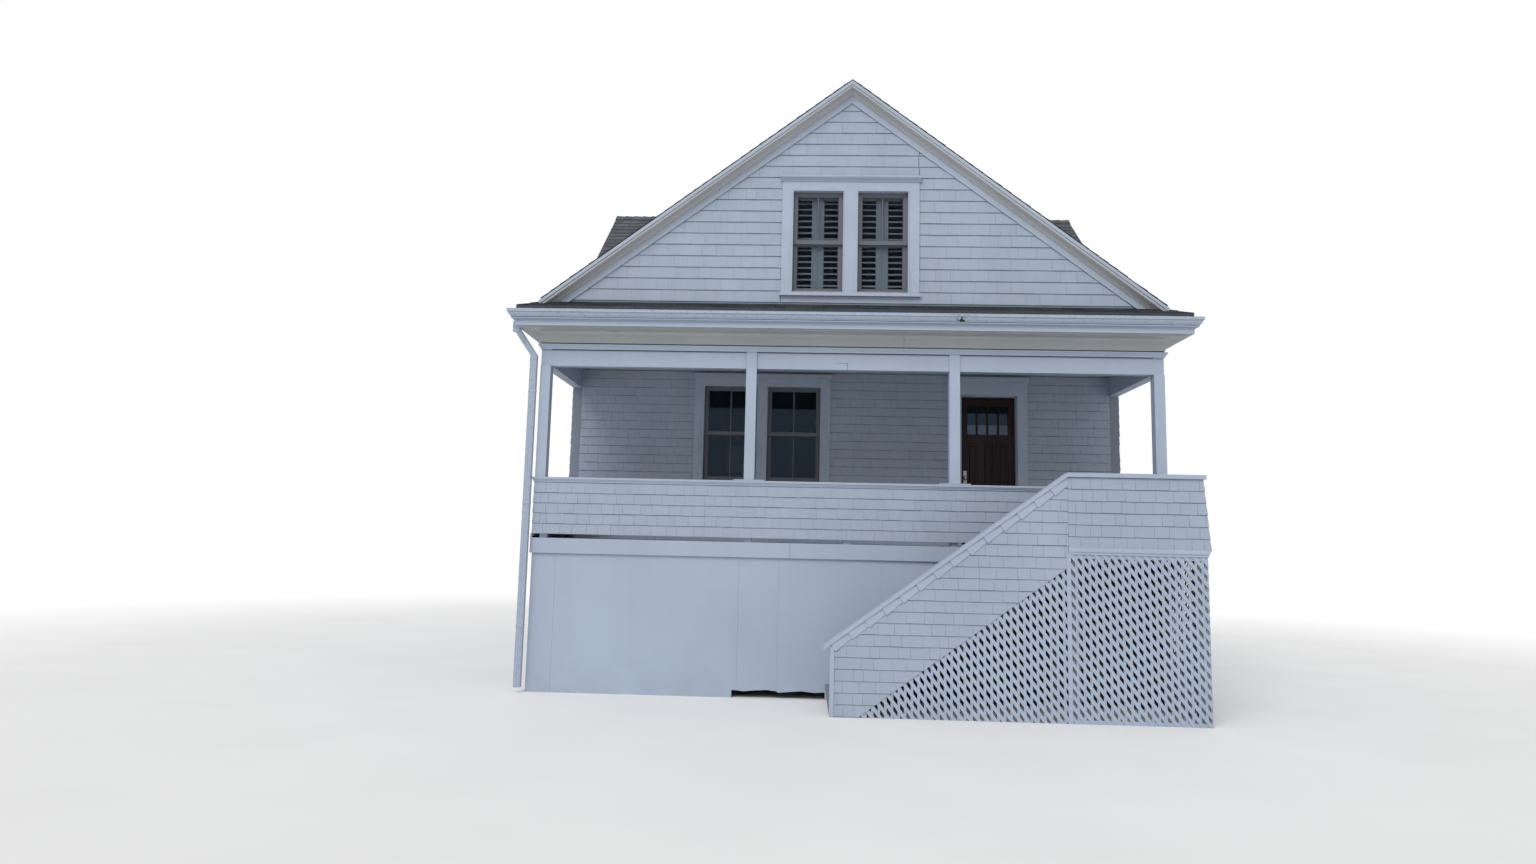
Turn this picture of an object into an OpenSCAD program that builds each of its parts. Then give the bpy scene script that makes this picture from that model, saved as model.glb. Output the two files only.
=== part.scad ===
/* [House] */
// Width of the house and porch across the outer faces
house_w = 7500; // [6900:50:8400]
// Depth from the porch front to the back face
house_d = 9300; // [8700:50:10500]
// Thickness of the framed outer walls
wall_t = 150; // [130:5:180]
// Height of the porch floor above the ground
deck_z = 1800; // [1500:10:2000]
// Thickness of the porch floor with its joists
deck_t = 180; // [150:5:220]
// Thickness of the base panels and their studs
base_t = 100; // [80:5:130]
// Height from the porch floor up to the porch ceiling
ceiling_h = 2360; // [2320:10:2600]
// Thickness of the attic floor above the ceiling
attic_t = 170; // [150:5:220]
// Step from the porch floor up to the floor indoors
indoor_step = 20; // [10:5:60]

/* [Roof] */
// Slope of the main roof in degrees
roof_pitch = 36.9; // [33:0.1:40]
// Height of the roof surface over the wall plane, above the attic floor
roof_heel = 360; // [320:5:420]
// Thickness of the roof measured straight down
roof_t = 190; // [150:5:230]
// Overhang of the roof past the gable walls
rake_over = 120; // [80:5:200]
// Thickness of the overhanging roof edge measured straight down
rake_edge = 100; // [80:5:130]
// Thickness of the board under the overhanging edge
rake_board_t = 25; // [15:1:40]
// Height of the board under the overhanging edge
rake_board_h = 148; // [100:2:200]
// Overhang of the eaves and of the small roof across the gable
eave_over = 260; // [220:5:320]
// Drop of the flared eave from the wall plane to its edge
eave_drop = 116; // [90:2:150]

/* [Dormers] */
// Distance of the dormer ridges behind the porch front
dormer_y = 3500; // [3200:50:3900]
// Height of the dormer ridges below the main ridge
dormer_below = 495; // [430:5:600]
// Slope of the dormer roofs in degrees
dormer_pitch = 40; // [38:0.5:42]
// Width of the dormer walls
dormer_w = 3600; // [3300:50:3800]
// Setback of the dormer face from the wall face below it
dormer_set = 250; // [200:5:350]
// Overhang of the dormer roof past its walls
dormer_over = 130; // [100:5:160]
// Thickness of the dormer roof measured straight down
dormer_t = 150; // [130:5:180]

/* [Porch] */
// Depth of the porch from its front plane to the front wall
porch_d = 1665; // [1500:5:1900]
// Width of the square porch posts
post_w = 125; // [110:5:140]
// Distance of the left middle post from the centreline
post_left_x = 1172; // [1100:2:1300]
// Distance of the right middle post from the centreline
post_right_x = 1270; // [1200:2:1400]
// Width of the flat plate under a middle post
post_plate_w = 370; // [250:5:450]
// Thickness of the flat plate under a middle post
post_plate_t = 14; // [8:1:25]
// Height of the porch beams
beam_h = 270; // [220:5:320]
// Recess of the beam face behind the post faces
beam_in = 20; // [10:1:35]
// Height of the open slot under the porch parapet
slot_h = 50; // [40:2:60]
// Height of the parapet cap top above the porch floor
cap_top_h = 727; // [680:1:800]
// Thickness of the parapet cap with its moulding
cap_t = 60; // [40:2:75]
// Overhang of the parapet cap past the parapet faces
cap_over = 30; // [20:1:45]
// Thickness of the board across the edge of the porch floor
skirt_t = 30; // [20:1:45]
// Distance of the broken gap's left end from the centreline
gap_left_x = 1320; // [1000:10:1500]
// Width of the broken gap at the foot of the front panels
gap_w = 1090; // [600:10:1400]
// Height of the broken gap at the foot of the front panels
gap_h = 90; // [40:5:150]

/* [Door] */
// Left edge of the clear doorway from the centreline
door_x = 1617; // [1450:1:1700]
// Width of the clear doorway
door_w = 760; // [740:1:800]
// Height of the clear doorway above its sill
door_h = 2030; // [1980:5:2060]
// Thickness of the door leaf
door_t = 45; // [38:1:50]
// Clearance between the door leaf and its frame
door_gap = 8; // [7:0.5:10]
// Height of the door knob above the foot of the door
knob_h = 900; // [850:10:1050]
// Height of the door sill above the floor indoors
sill_t = 20; // [15:1:30]
// Height of the glazed part of the door
door_light_h = 560; // [450:10:650]
// Thickness of the jambs of door and windows
jamb_t = 35; // [25:1:45]

/* [Windows] */
// Width of a sash in the porch and side windows
win_w = 727; // [650:1:780]
// Height of the porch and side windows
win_h = 1300; // [1200:5:1350]
// Height of the window sills above the porch floor
win_sill_h = 843; // [800:5:900]
// Distance of the porch window pair's left sash edge from the centreline
porch_win_x = 1907; // [1800:5:2000]
// Width of the post between the two porch windows
porch_mull = 145; // [120:5:180]
// Width of a sash in the gable windows
gable_win_w = 612; // [560:1:660]
// Height of the gable windows
gable_win_h = 1264; // [1150:2:1300]
// Height of the gable window sill above the attic floor
gable_sill_h = 522; // [500:2:560]
// Width of the post between paired gable windows
gable_mull = 181; // [150:1:200]
// Height of the dormer windows
dormer_win_h = 650; // [500:5:700]
// Height of the dormer window sills above the roof at the inside of the wall
dormer_sill_h = 60; // [45:5:90]
// Height of a dormer window's crown top above its head
dormer_head_h = 90; // [80:5:120]
// Distance from the front wall to the middle of the first side window
side_win_front = 1750; // [1400:10:2200]
// Distance from the back face to the middle of the last side window
side_win_rear = 1900; // [1400:10:2400]
// Distance of the back windows from the centreline
back_win_mid = 1900; // [1200:10:2300]
// Width of the stiles and rails of a sash
stile_w = 50; // [40:1:60]
// Thickness of a sash
sash_t = 35; // [30:1:40]
// Thickness of the window panes
glass_t = 6; // [4:1:8]
// Width of the casing boards
casing_w = 138; // [110:1:160]
// Thickness of the casing boards
casing_t = 25; // [18:1:35]
// Extra depth of the crown over a casing
crown_out = 45; // [30:1:60]
// Height of the crown over a casing
crown_h = 70; // [50:1:80]
// Gap between the porch ceiling and the crowns below it
crown_drop = 43; // [25:1:60]
// Height of the head board over an attic window
head_h = 120; // [90:5:140]
// Thickness of the louvred shutters behind the gable windows
shutter_t = 28; // [20:1:35]

/* [Stair] */
// Width of the stair with its outer wall
stair_w = 1050; // [950:10:1150]
// Thickness of the stair wall and of the landing wall
rail_t = 100; // [80:5:120]
// Left end of the stair at the ground from the centreline
foot_x = 208; // [150:2:300]
// Left edge of the landing from the centreline
landing_x = 2297; // [2200:1:2380]
// Number of risers up to the landing
risers = 10; // [9:1:11]
// Thickness of the flight below the steps
flight_t = 160; // [120:5:200]
// Thickness of the landing floor
landing_t = 55; // [40:5:80]
// Width of the legs under the landing
leg_w = 90; // [80:5:110]
// Height of the stair wall measured straight down from its cap
rail_band = 1000; // [900:10:1060]
// Height of the landing wall's cap top above the floor
rail_top_h = 812; // [760:2:860]
// Height of the stair cap's top at the foot of the stair
rail_foot_h = 784; // [740:2:830]
// Thickness of the stair and landing caps
rail_cap_t = 45; // [30:1:60]
// Outward lean of the landing wall at its foot
flare = 60; // [30:2:80]
// Width of a slanted lattice strip
strip_w = 47; // [40:1:52]
// Spacing of the slanted lattice strips
strip_pitch = 68; // [62:1:80]
// Slope of the slanted lattice strips in degrees
strip_angle = 52.6; // [45:0.2:56]
// Width of an upright lattice slat
slat_w = 33; // [26:1:38]
// Spacing of the upright lattice slats
slat_pitch = 69; // [62:1:80]
// Thickness of the lattice
strip_t = 16; // [12:1:24]

/* [Rain gutter] */
// Width of the gutter
gutter_w = 90; // [75:1:110]
// Height of the gutter
gutter_h = 90; // [75:1:105]
// Thickness of the gutter's walls
gutter_t = 8; // [6:1:12]
// Drop from the roof edge to the gutter's rim
gutter_drop = 60; // [40:2:80]
// Size across the downspout
spout_w = 85; // [70:1:100]
// Depth of the downspout
spout_d = 60; // [50:1:75]
// Height of the downspout's foot above the ground
spout_foot = 60; // [30:5:150]

/* [Hidden] */
$fn = 48;

half_w = house_w / 2;
base_top = deck_z - deck_t;
floor_top = deck_z + indoor_step;
ceiling_z = deck_z + ceiling_h;
attic_z = ceiling_z + attic_t;
eave_z = attic_z + roof_heel;
roof_tan = tan(roof_pitch);
ridge_z = eave_z + half_w * roof_tan;
eave_tip_z = eave_z - eave_drop;
plate_w = wall_t;
back_wall_y = house_d - wall_t;
wall_in_y = porch_d + wall_t;

dormer_tan = tan(dormer_pitch);
dormer_ridge_z = ridge_z - dormer_below;
dormer_half = dormer_w / 2;
dormer_face = half_w - dormer_set;
dormer_end = dormer_face + dormer_over;
hatch_margin = 90;
hatch_half = dormer_half - wall_t;
hatch_high_half = 300;
hatch_low_x = valley_x(hatch_half);
hatch_high_x = valley_x(hatch_high_half);

cap_top_z = deck_z + cap_top_h;
cap_z = cap_top_z - cap_t;
slot_top_z = deck_z + slot_h;
beam_z = ceiling_z - beam_h;
foot_block = 90;
foot_in = 10;
moulding_h = 70;
gap_x0 = -gap_left_x;

door_x1 = door_x + door_w;
door_sill_z = floor_top + sill_t;
door_head_z = door_sill_z + door_h;
door_lintel_z = door_head_z + jamb_t;
door_under = 6;
hinge_side_gap = 7;
leaf_y = wall_in_y - door_t;
leaf_x0 = door_x + door_gap;
leaf_x1 = door_x1 - hinge_side_gap;
leaf_z0 = door_sill_z + door_under;
leaf_z1 = door_head_z - door_under;
stop_t = 12;
stop_gap = 6;
stop_in = 20;
pin_r = 6;
pin_gap = 1;
pin_inset = 2;
pin_x = door_x1 - pin_inset;
pin_y = wall_in_y + pin_r + pin_gap;
knuckle_h = 50;
knuckle_gap = 0.3;
hinge_plate_t = 3;
hinge_plate_w = 38;
hinge_low = 180;
hinge_high = 230;
hinge_z = [leaf_z0 + hinge_low, (leaf_z0 + leaf_z1) / 2, leaf_z1 - hinge_high];
light_margin = 95;
light_top_margin = 120;
light_glass_t = 8;
knob_z = leaf_z0 + knob_h;
knob_in = 62;
knob_x = leaf_x0 + knob_in;
knob_r = 26;
knob_edge_r = 15;
knob_neck_r = 9;
knob_neck = 34;
knob_rise = 10;
knob_plate = [44, 5, 190];

win_z = deck_z + win_sill_h;
porch_win = [-porch_win_x, -porch_win_x + win_w + porch_mull];
gable_win_z = attic_z + gable_sill_h;
gable_win = [-gable_mull / 2 - gable_win_w, gable_mull / 2];
dormer_win_z = eave_z + (dormer_set + wall_t) * roof_tan + dormer_sill_h;
side_win_y = [porch_d + side_win_front, house_d - side_win_rear];
back_win_x = [-back_win_mid, back_win_mid];
upper_sash_y = 40;
sash_gap = 2;
lower_sash_y = upper_sash_y + sash_t + sash_gap;
crown_top_z = ceiling_z - crown_drop;
crown_lip = 18;
crown_side = 20;
sill_h = 62;
sill_board_h = 42;
sill_out = 30;
sill_side = 15;
shutter_in = 10;
shutter_side_gap = 2;

riser_h = deck_z / risers;
step_d = (landing_x + foot_x) / (risers - 1);
stair_slope = deck_z / (landing_x + foot_x + step_d);
rail_top_z = deck_z + rail_top_h;
cap_slope = (rail_top_z - rail_foot_h) / (landing_x + foot_x);
rail_front_y = -stair_w;
rail_back_y = rail_front_y + rail_t;
rail_cap_over = 25;
rail_tip = 70;
flight_gap = 3;
lattice_top = deck_z - landing_t;
seat_gap = 0.3;
strip_tan = tan(strip_angle);
strip_rise = strip_pitch / cos(strip_angle);
hole_w = slat_pitch - slat_w;
hole_h = (strip_pitch - strip_w) / cos(strip_angle);
hole_reach = (hole_h + hole_w * strip_tan) / 2;
strip_edge = 22;
stair_lattice_end = 60;
leg_in = 25;
header_t = 45;
header_h = 70;
side_rail_extra = 20;
side_rail_x = half_w - rail_t - side_rail_extra;
side_rail_y = -cap_over - seat_gap;
spout_gap = 0.5;
spout_front_gap = 10;
outlet_gap = 2.5;
outlet_h = 90;
spout_knee = 330;
spout_x = -half_w - cap_over - spout_gap - spout_w;
mitre = 0.01;
gutter_z = eave_tip_z - gutter_drop - gutter_h;

// Where a dormer roof's underside, y off its ridge and clear by the margin, meets the main roof.
function valley_x(y) = (ridge_z - dormer_ridge_z + dormer_t + (y + hatch_margin) * dormer_tan) / roof_tan;

// A box between two corners.
module box(a, b) {
    translate(a) cube(b - a);
}

// A shape drawn in X and Z, carried from y0 to y1.
module along_y(points, y0, y1) {
    translate([0, y1, 0]) rotate([90, 0, 0]) linear_extrude(height = y1 - y0) polygon(points);
}

// A shape drawn in Y and Z, carried from x0 to x1.
module along_x(points, x0, x1) {
    translate([x0, 0, 0]) rotate([90, 0, 90]) linear_extrude(height = x1 - x0) polygon(points);
}

module both_sides() {
    children();
    mirror([1, 0, 0]) children();
}

// Repeats its child at the back of the house.
module mirror_depth() {
    translate([0, house_d, 0]) mirror([0, 1, 0]) children();
}

/* Base */

module base_front() {
    color("#b9c3cb")
    difference() {
        box([-half_w, skirt_t, 0], [half_w, skirt_t + base_t, base_top]);
        box([gap_x0, 0, -1], [gap_x0 + gap_w, skirt_t + base_t + 1, gap_h]);
    }
}

module base_sides() {
    color("#b9c3cb")
    both_sides()
    box([half_w - base_t, skirt_t + base_t, 0], [half_w, house_d - base_t, base_top]);
}

module base_back() {
    color("#b9c3cb")
    box([-half_w, house_d - base_t, 0], [half_w, house_d, base_top]);
}

module skirt_board() {
    color("#c2cbd2")
    box([-half_w, 0, base_top], [half_w, skirt_t, deck_z]);
}

/* Floors and walls */

module porch_floor() {
    color("#7d8388")
    box([-half_w, skirt_t, base_top], [half_w, porch_d, deck_z]);
}

module main_floor() {
    color("#8a7660")
    box([-half_w, porch_d, base_top], [half_w, house_d, floor_top]);
}

module front_wall_left() {
    color("#bcc6ce")
    difference() {
        box([-half_w, porch_d, floor_top], [door_x - jamb_t, wall_in_y, ceiling_z]);
        box([porch_win[0] - jamb_t, porch_d - 1, win_z - jamb_t],
            [porch_win[1] + win_w + jamb_t, wall_in_y + 1, win_z + win_h + jamb_t]);
    }
}

module front_wall_right() {
    color("#bcc6ce")
    box([door_x1 + jamb_t, porch_d, floor_top], [half_w, wall_in_y, ceiling_z]);
}

module front_wall_over_door() {
    color("#bcc6ce")
    box([door_x - jamb_t, porch_d, door_lintel_z], [door_x1 + jamb_t, wall_in_y, ceiling_z]);
}

module side_wall() {
    difference() {
        box([half_w - wall_t, wall_in_y, floor_top], [half_w, back_wall_y, ceiling_z]);
        for (y = side_win_y) {
            box([half_w - wall_t - 1, y - win_w / 2 - jamb_t, win_z - jamb_t],
                [half_w + 1, y + win_w / 2 + jamb_t, win_z + win_h + jamb_t]);
        }
    }
}

module left_wall() {
    color("#bcc6ce") mirror([1, 0, 0]) side_wall();
}

module right_wall() {
    color("#bcc6ce") side_wall();
}

module back_wall() {
    color("#bcc6ce")
    difference() {
        box([-half_w, back_wall_y, floor_top], [half_w, house_d, ceiling_z]);
        for (x = back_win_x) {
            box([x - win_w / 2 - jamb_t, back_wall_y - 1, win_z - jamb_t],
                [x + win_w / 2 + jamb_t, house_d + 1, win_z + win_h + jamb_t]);
        }
    }
}

module attic_floor() {
    color("#b4bdc4")
    box([-half_w, 0, ceiling_z], [half_w, house_d, attic_z]);
}

module gable_wall() {
    difference() {
        along_y([
            [-half_w + plate_w, attic_z],
            [half_w - plate_w, attic_z],
            [half_w - plate_w, eave_z - roof_t + plate_w * roof_tan],
            [0, ridge_z - roof_t],
            [-half_w + plate_w, eave_z - roof_t + plate_w * roof_tan]
        ], 0, wall_t);
        box([gable_win[0] - jamb_t, -1, gable_win_z - jamb_t],
            [gable_win[1] + gable_win_w + jamb_t, wall_t + 1, gable_win_z + gable_win_h + jamb_t]);
    }
}

module front_gable() {
    color("#bcc6ce") gable_wall();
}

module back_gable() {
    color("#bcc6ce") mirror_depth() gable_wall();
}

/* Roof */

// Everything below the small roof across the gable, in front of the wall.
module under_pent() {
    along_x([
        [0, eave_z],
        [-eave_over, eave_tip_z],
        [-eave_over, attic_z - 1],
        [0, attic_z - 1]
    ], -half_w - eave_over, half_w + eave_over);
}

// The plan of the small roof, mitred where it meets the side eaves.
module pent_plan() {
    linear_extrude(height = ridge_z)
    polygon([
        [-half_w, 0],
        [-half_w - eave_over, -eave_over],
        [half_w + eave_over, -eave_over],
        [half_w, 0]
    ]);
}

// The space under the main roof surface.
module under_roof() {
    along_y([
        [0, 0],
        [house_w, 0],
        [house_w, ridge_z - house_w * roof_tan],
        [0, ridge_z]
    ], -house_d, 2 * house_d);
}

module roof_slab(y0, y1, thick) {
    along_y([
        [0, ridge_z],
        [half_w, eave_z],
        [half_w, eave_z - thick],
        [0, ridge_z - thick]
    ], y0, y1);
}

module side_eave() {
    difference() {
        along_y([
            [half_w, attic_z],
            [half_w + eave_over, attic_z],
            [half_w + eave_over, eave_tip_z],
            [half_w, eave_z]
        ], -eave_over, house_d + eave_over);
        pent_plan();
        mirror_depth() pent_plan();
    }
}

module roof_half() {
    difference() {
        union() {
            difference() {
                roof_slab(-rake_over, house_d + rake_over, rake_edge);
                under_pent();
                mirror_depth() under_pent();
            }
            roof_slab(0, house_d, roof_t);
            along_y([
                [half_w - plate_w, attic_z],
                [half_w, attic_z],
                [half_w, eave_z - roof_t],
                [half_w - plate_w, eave_z - roof_t + plate_w * roof_tan]
            ], 0, house_d);
            side_eave();
        }
        translate([0, dormer_y, 0])
        linear_extrude(height = ridge_z)
        polygon([
            [hatch_high_x, -hatch_high_half],
            [hatch_low_x, -hatch_half],
            [dormer_face - wall_t, -hatch_half],
            [dormer_face - wall_t, hatch_half],
            [hatch_low_x, hatch_half],
            [hatch_high_x, hatch_high_half]
        ]);
    }
}

module roof_left() {
    color("#5b5651") mirror([1, 0, 0]) roof_half();
}

module roof_right() {
    color("#5b5651") roof_half();
}

module pent() {
    intersection() {
        along_x([
            [0, eave_z],
            [-eave_over, eave_tip_z],
            [-eave_over, attic_z],
            [0, attic_z]
        ], -half_w - eave_over, half_w + eave_over);
        pent_plan();
    }
}

module pent_front() {
    color("#5b5651") pent();
}

module pent_back() {
    color("#5b5651") mirror_depth() pent();
}

module rake_board() {
    difference() {
        along_y([
            [0, ridge_z - rake_edge],
            [half_w, eave_z - rake_edge],
            [half_w, eave_z - rake_edge - rake_board_h],
            [0, ridge_z - rake_edge - rake_board_h]
        ], -rake_board_t, 0);
        under_pent();
    }
}

module rake_boards() {
    color("#c4ccd3") {
        both_sides() rake_board();
        mirror_depth() both_sides() rake_board();
    }
}

/* Dormers */

module dormer_profile(y_half, drop) {
    polygon([
        [dormer_y - y_half, 0],
        [dormer_y + y_half, 0],
        [dormer_y + y_half, dormer_ridge_z - drop - y_half * dormer_tan],
        [dormer_y, dormer_ridge_z - drop],
        [dormer_y - y_half, dormer_ridge_z - drop - y_half * dormer_tan]
    ]);
}

module dormer_walls() {
    difference() {
        rotate([90, 0, 90]) linear_extrude(height = dormer_face)
        dormer_profile(dormer_half, dormer_t);
        rotate([90, 0, 90]) linear_extrude(height = dormer_face - wall_t)
        dormer_profile(dormer_half - wall_t, dormer_t - 1);
        under_roof();
        box([0, dormer_y - gable_win_w - gable_mull / 2 - jamb_t, dormer_win_z - jamb_t],
            [house_w, dormer_y + gable_win_w + gable_mull / 2 + jamb_t,
             dormer_win_z + dormer_win_h + jamb_t]);
    }
}

module dormer_wall_left() {
    color("#bcc6ce") mirror([1, 0, 0]) dormer_walls();
}

module dormer_wall_right() {
    color("#bcc6ce") dormer_walls();
}

module dormer_roof() {
    edge = dormer_half + dormer_over;
    edge_z = dormer_ridge_z - edge * dormer_tan;
    difference() {
        rotate([90, 0, 90]) linear_extrude(height = dormer_end)
        polygon([
            [dormer_y, dormer_ridge_z],
            [dormer_y + edge, edge_z],
            [dormer_y + edge, edge_z - dormer_t],
            [dormer_y, dormer_ridge_z - dormer_t],
            [dormer_y - edge, edge_z - dormer_t],
            [dormer_y - edge, edge_z]
        ]);
        under_roof();
    }
}

module dormer_roofs() {
    color("#6b6158") both_sides() dormer_roof();
}

/* Gutter */

module gutter_profile() {
    difference() {
        translate([0, gutter_z]) square([gutter_w, gutter_h]);
        translate([gutter_t, gutter_z + gutter_t]) square([gutter_w - 2 * gutter_t, gutter_h]);
    }
}

module gutter_run_front() {
    intersection() {
        translate([-house_w, -eave_over, 0]) rotate([90, 0, 90]) mirror([1, 0, 0])
        linear_extrude(height = 2 * house_w) gutter_profile();
        linear_extrude(height = ridge_z)
        polygon([
            [-half_w - eave_over + mitre, -eave_over + mitre],
            [-half_w - eave_over - gutter_w, -eave_over - gutter_w],
            [half_w + eave_over + gutter_w, -eave_over - gutter_w],
            [half_w + eave_over - mitre, -eave_over + mitre]
        ]);
    }
}

module gutter_run_side() {
    intersection() {
        translate([half_w + eave_over, house_d + eave_over, 0]) rotate([90, 0, 0])
        linear_extrude(height = house_d + 2 * eave_over + 2 * gutter_w) gutter_profile();
        linear_extrude(height = ridge_z)
        polygon([
            [half_w + eave_over - mitre, -eave_over + mitre],
            [half_w + eave_over + gutter_w, -eave_over - gutter_w],
            [half_w + eave_over + gutter_w, house_d + eave_over],
            [half_w + eave_over - mitre, house_d + eave_over]
        ]);
    }
}

module gutters() {
    color("#b7b2ab")
    union() {
        gutter_run_front();
        both_sides() gutter_run_side();
    }
}

module downspout() {
    outlet_x = -half_w - eave_over - outlet_gap - spout_w;
    knee_z = gutter_z - outlet_h;
    wall_z = attic_z - spout_knee;
    color("#b7b2ab")
    along_y([
        [outlet_x, gutter_z],
        [outlet_x, knee_z],
        [spout_x, wall_z],
        [spout_x, spout_foot],
        [spout_x + spout_w, spout_foot],
        [spout_x + spout_w, wall_z],
        [outlet_x + spout_w, knee_z],
        [outlet_x + spout_w, gutter_z]
    ], -spout_d - spout_front_gap, -spout_front_gap);
}

/* Porch */

module porch_beams() {
    color("#c2cbd2")
    union() {
        box([-half_w, beam_in, beam_z], [half_w, post_w, ceiling_z]);
        both_sides() box([half_w - post_w, post_w, beam_z], [half_w, porch_d, ceiling_z]);
    }
}

module middle_post(x) {
    union() {
        box([x - post_w / 2, 0, cap_top_z + post_plate_t], [x + post_w / 2, post_w, beam_z]);
        box([x - post_w / 2, 0, beam_z], [x + post_w / 2, beam_in, ceiling_z - moulding_h]);
        box([x - post_plate_w / 2, -cap_over, cap_top_z],
            [x + post_plate_w / 2, post_w + cap_over, cap_top_z + post_plate_t]);
    }
}

module porch_posts() {
    color("#c6ced5") {
        both_sides() box([half_w - post_w, 0, cap_top_z], [half_w, post_w, beam_z]);
        middle_post(-post_left_x);
        middle_post(post_right_x);
    }
}

module porch_parapet() {
    color("#b4bec7")
    union() {
        box([-half_w, 0, slot_top_z], [landing_x + rail_t, post_w, cap_z]);
        box([-half_w, post_w, slot_top_z], [-half_w + post_w, porch_d, cap_z]);
        for (x = [-half_w + post_w, -post_left_x, 0, post_right_x, landing_x]) {
            box([x - foot_block / 2, skirt_t + foot_in, deck_z], [x + foot_block / 2, post_w, slot_top_z]);
        }
        box([-half_w + foot_in, porch_d - foot_block, deck_z], [-half_w + post_w, porch_d, slot_top_z]);
        box([half_w - post_w, 0, deck_z], [half_w, porch_d, cap_z]);
    }
}

module porch_caps() {
    color("#cad2d8")
    union() {
        box([-half_w - cap_over, -cap_over, cap_z], [landing_x + rail_t, post_w + cap_over, cap_top_z]);
        both_sides()
        box([half_w - post_w - cap_over, -cap_over, cap_z], [half_w + cap_over, porch_d, cap_top_z]);
    }
}

/* Door */

// Side boards from z0, a head board over z1 and a crown that stands out below top.
module casing(x0, x1, z0, z1, top) {
    difference() {
        box([x0 - casing_w, -casing_t, z0], [x1 + casing_w, 0, top]);
        box([x0, -casing_t - 1, z0 - 1], [x1, 1, z1]);
    }
    along_x([
        [-casing_t / 2, top - crown_h],
        [-casing_t / 2, top],
        [-casing_t - crown_out, top],
        [-casing_t - crown_out, top - crown_lip],
        [-casing_t, top - crown_h]
    ], x0 - casing_w - crown_side, x1 + casing_w + crown_side);
}

module door_frame() {
    color("#c6ced5")
    union() {
        difference() {
            box([door_x - jamb_t, porch_d, floor_top], [door_x1 + jamb_t, wall_in_y, door_lintel_z]);
            box([door_x, porch_d - 1, door_sill_z], [door_x1, wall_in_y + 1, door_head_z]);
        }
        difference() {
            box([door_x, porch_d + stop_in, door_sill_z], [door_x1, leaf_y - stop_gap, door_head_z]);
            box([door_x + stop_t, porch_d, door_sill_z - 1],
                [door_x1 - stop_t, wall_in_y, door_head_z - stop_t]);
        }
        translate([0, porch_d, 0]) casing(door_x, door_x1, deck_z, door_head_z, crown_top_z);
    }
}

module hinge_pin_part(z, h) {
    translate([pin_x, pin_y, z]) cylinder(r = pin_r, h = h);
}

module frame_hinges() {
    color("#6d6457")
    for (z = hinge_z) {
        union() {
            hinge_pin_part(z - knuckle_h, knuckle_h - knuckle_gap);
            box([pin_x, wall_in_y, z - knuckle_h],
                [pin_x + hinge_plate_w, wall_in_y + hinge_plate_t, z - knuckle_gap]);
        }
    }
}

module front_door() {
    color("#3a2620")
    difference() {
        box([leaf_x0, leaf_y, leaf_z0], [leaf_x1, wall_in_y, leaf_z1]);
        box([leaf_x0 + light_margin, leaf_y - 1, leaf_z1 - light_top_margin - door_light_h],
            [leaf_x1 - light_margin, wall_in_y + 1, leaf_z1 - light_top_margin]);
    }
}

module door_glass() {
    color("#4b5a63")
    box([leaf_x0 + light_margin, leaf_y + (door_t - light_glass_t) / 2,
         leaf_z1 - light_top_margin - door_light_h],
        [leaf_x1 - light_margin, leaf_y + (door_t + light_glass_t) / 2, leaf_z1 - light_top_margin]);
}

module knob() {
    rotate([90, 0, 0]) {
        cylinder(r = knob_neck_r, h = knob_neck);
        translate([0, 0, knob_neck]) cylinder(r1 = knob_edge_r, r2 = knob_r, h = knob_rise);
        translate([0, 0, knob_neck + knob_rise]) cylinder(r1 = knob_r, r2 = knob_edge_r, h = knob_rise);
    }
    translate([-knob_plate[0] / 2, -knob_plate[1], -knob_plate[2] / 2]) cube(knob_plate);
}

module door_hardware() {
    color("#a9a39a") {
        translate([knob_x, leaf_y, knob_z]) knob();
        translate([knob_x, wall_in_y, knob_z]) mirror([0, 1, 0]) knob();
        for (z = hinge_z) {
            union() {
                hinge_pin_part(z, knuckle_h);
                box([pin_x - hinge_plate_w, wall_in_y, z],
                    [pin_x, wall_in_y + hinge_plate_t, z + knuckle_h]);
            }
        }
    }
}

/* Windows: drawn on a wall's outer plane, sashes w wide from each x, h high from z, crown up to top. */

module sash(x, w, y, z0, z1) {
    difference() {
        box([x, y, z0], [x + w, y + sash_t, z1]);
        box([x + stile_w, y - 1, z0 + stile_w], [x + w - stile_w, y + sash_t + 1, z1 - stile_w]);
    }
}

module window_unit(x, w, z, h, top) {
    last = x[len(x) - 1] + w;
    mid = z + h / 2;
    difference() {
        box([x[0] - jamb_t, 0, z - jamb_t], [last + jamb_t, wall_t, z + h + jamb_t]);
        for (a = x) {
            box([a, -1, z], [a + w, wall_t + 1, z + h]);
        }
    }
    casing(x[0], last, z - sill_h, z + h, top);
    box([x[0] - casing_w - sill_side, -casing_t - sill_out, z - sill_h],
        [last + casing_w + sill_side, 0, z - sill_h + sill_board_h]);
    for (a = [0 : len(x) - 2]) {
        box([x[a] + w, -casing_t, z - sill_h], [x[a + 1], 0, z + h]);
    }
    for (a = x) {
        sash(a, w, upper_sash_y, mid - stile_w / 2, z + h);
        sash(a, w, lower_sash_y, z, mid + stile_w / 2);
    }
}

module window_panes(x, w, z, h) {
    mid = z + h / 2;
    for (a = x) {
        box([a + stile_w, upper_sash_y + (sash_t - glass_t) / 2, mid + stile_w / 2],
            [a + w - stile_w, upper_sash_y + (sash_t + glass_t) / 2, z + h - stile_w]);
        box([a + stile_w, lower_sash_y + (sash_t - glass_t) / 2, z + stile_w],
            [a + w - stile_w, lower_sash_y + (sash_t + glass_t) / 2, mid - stile_w / 2]);
    }
}

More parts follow.
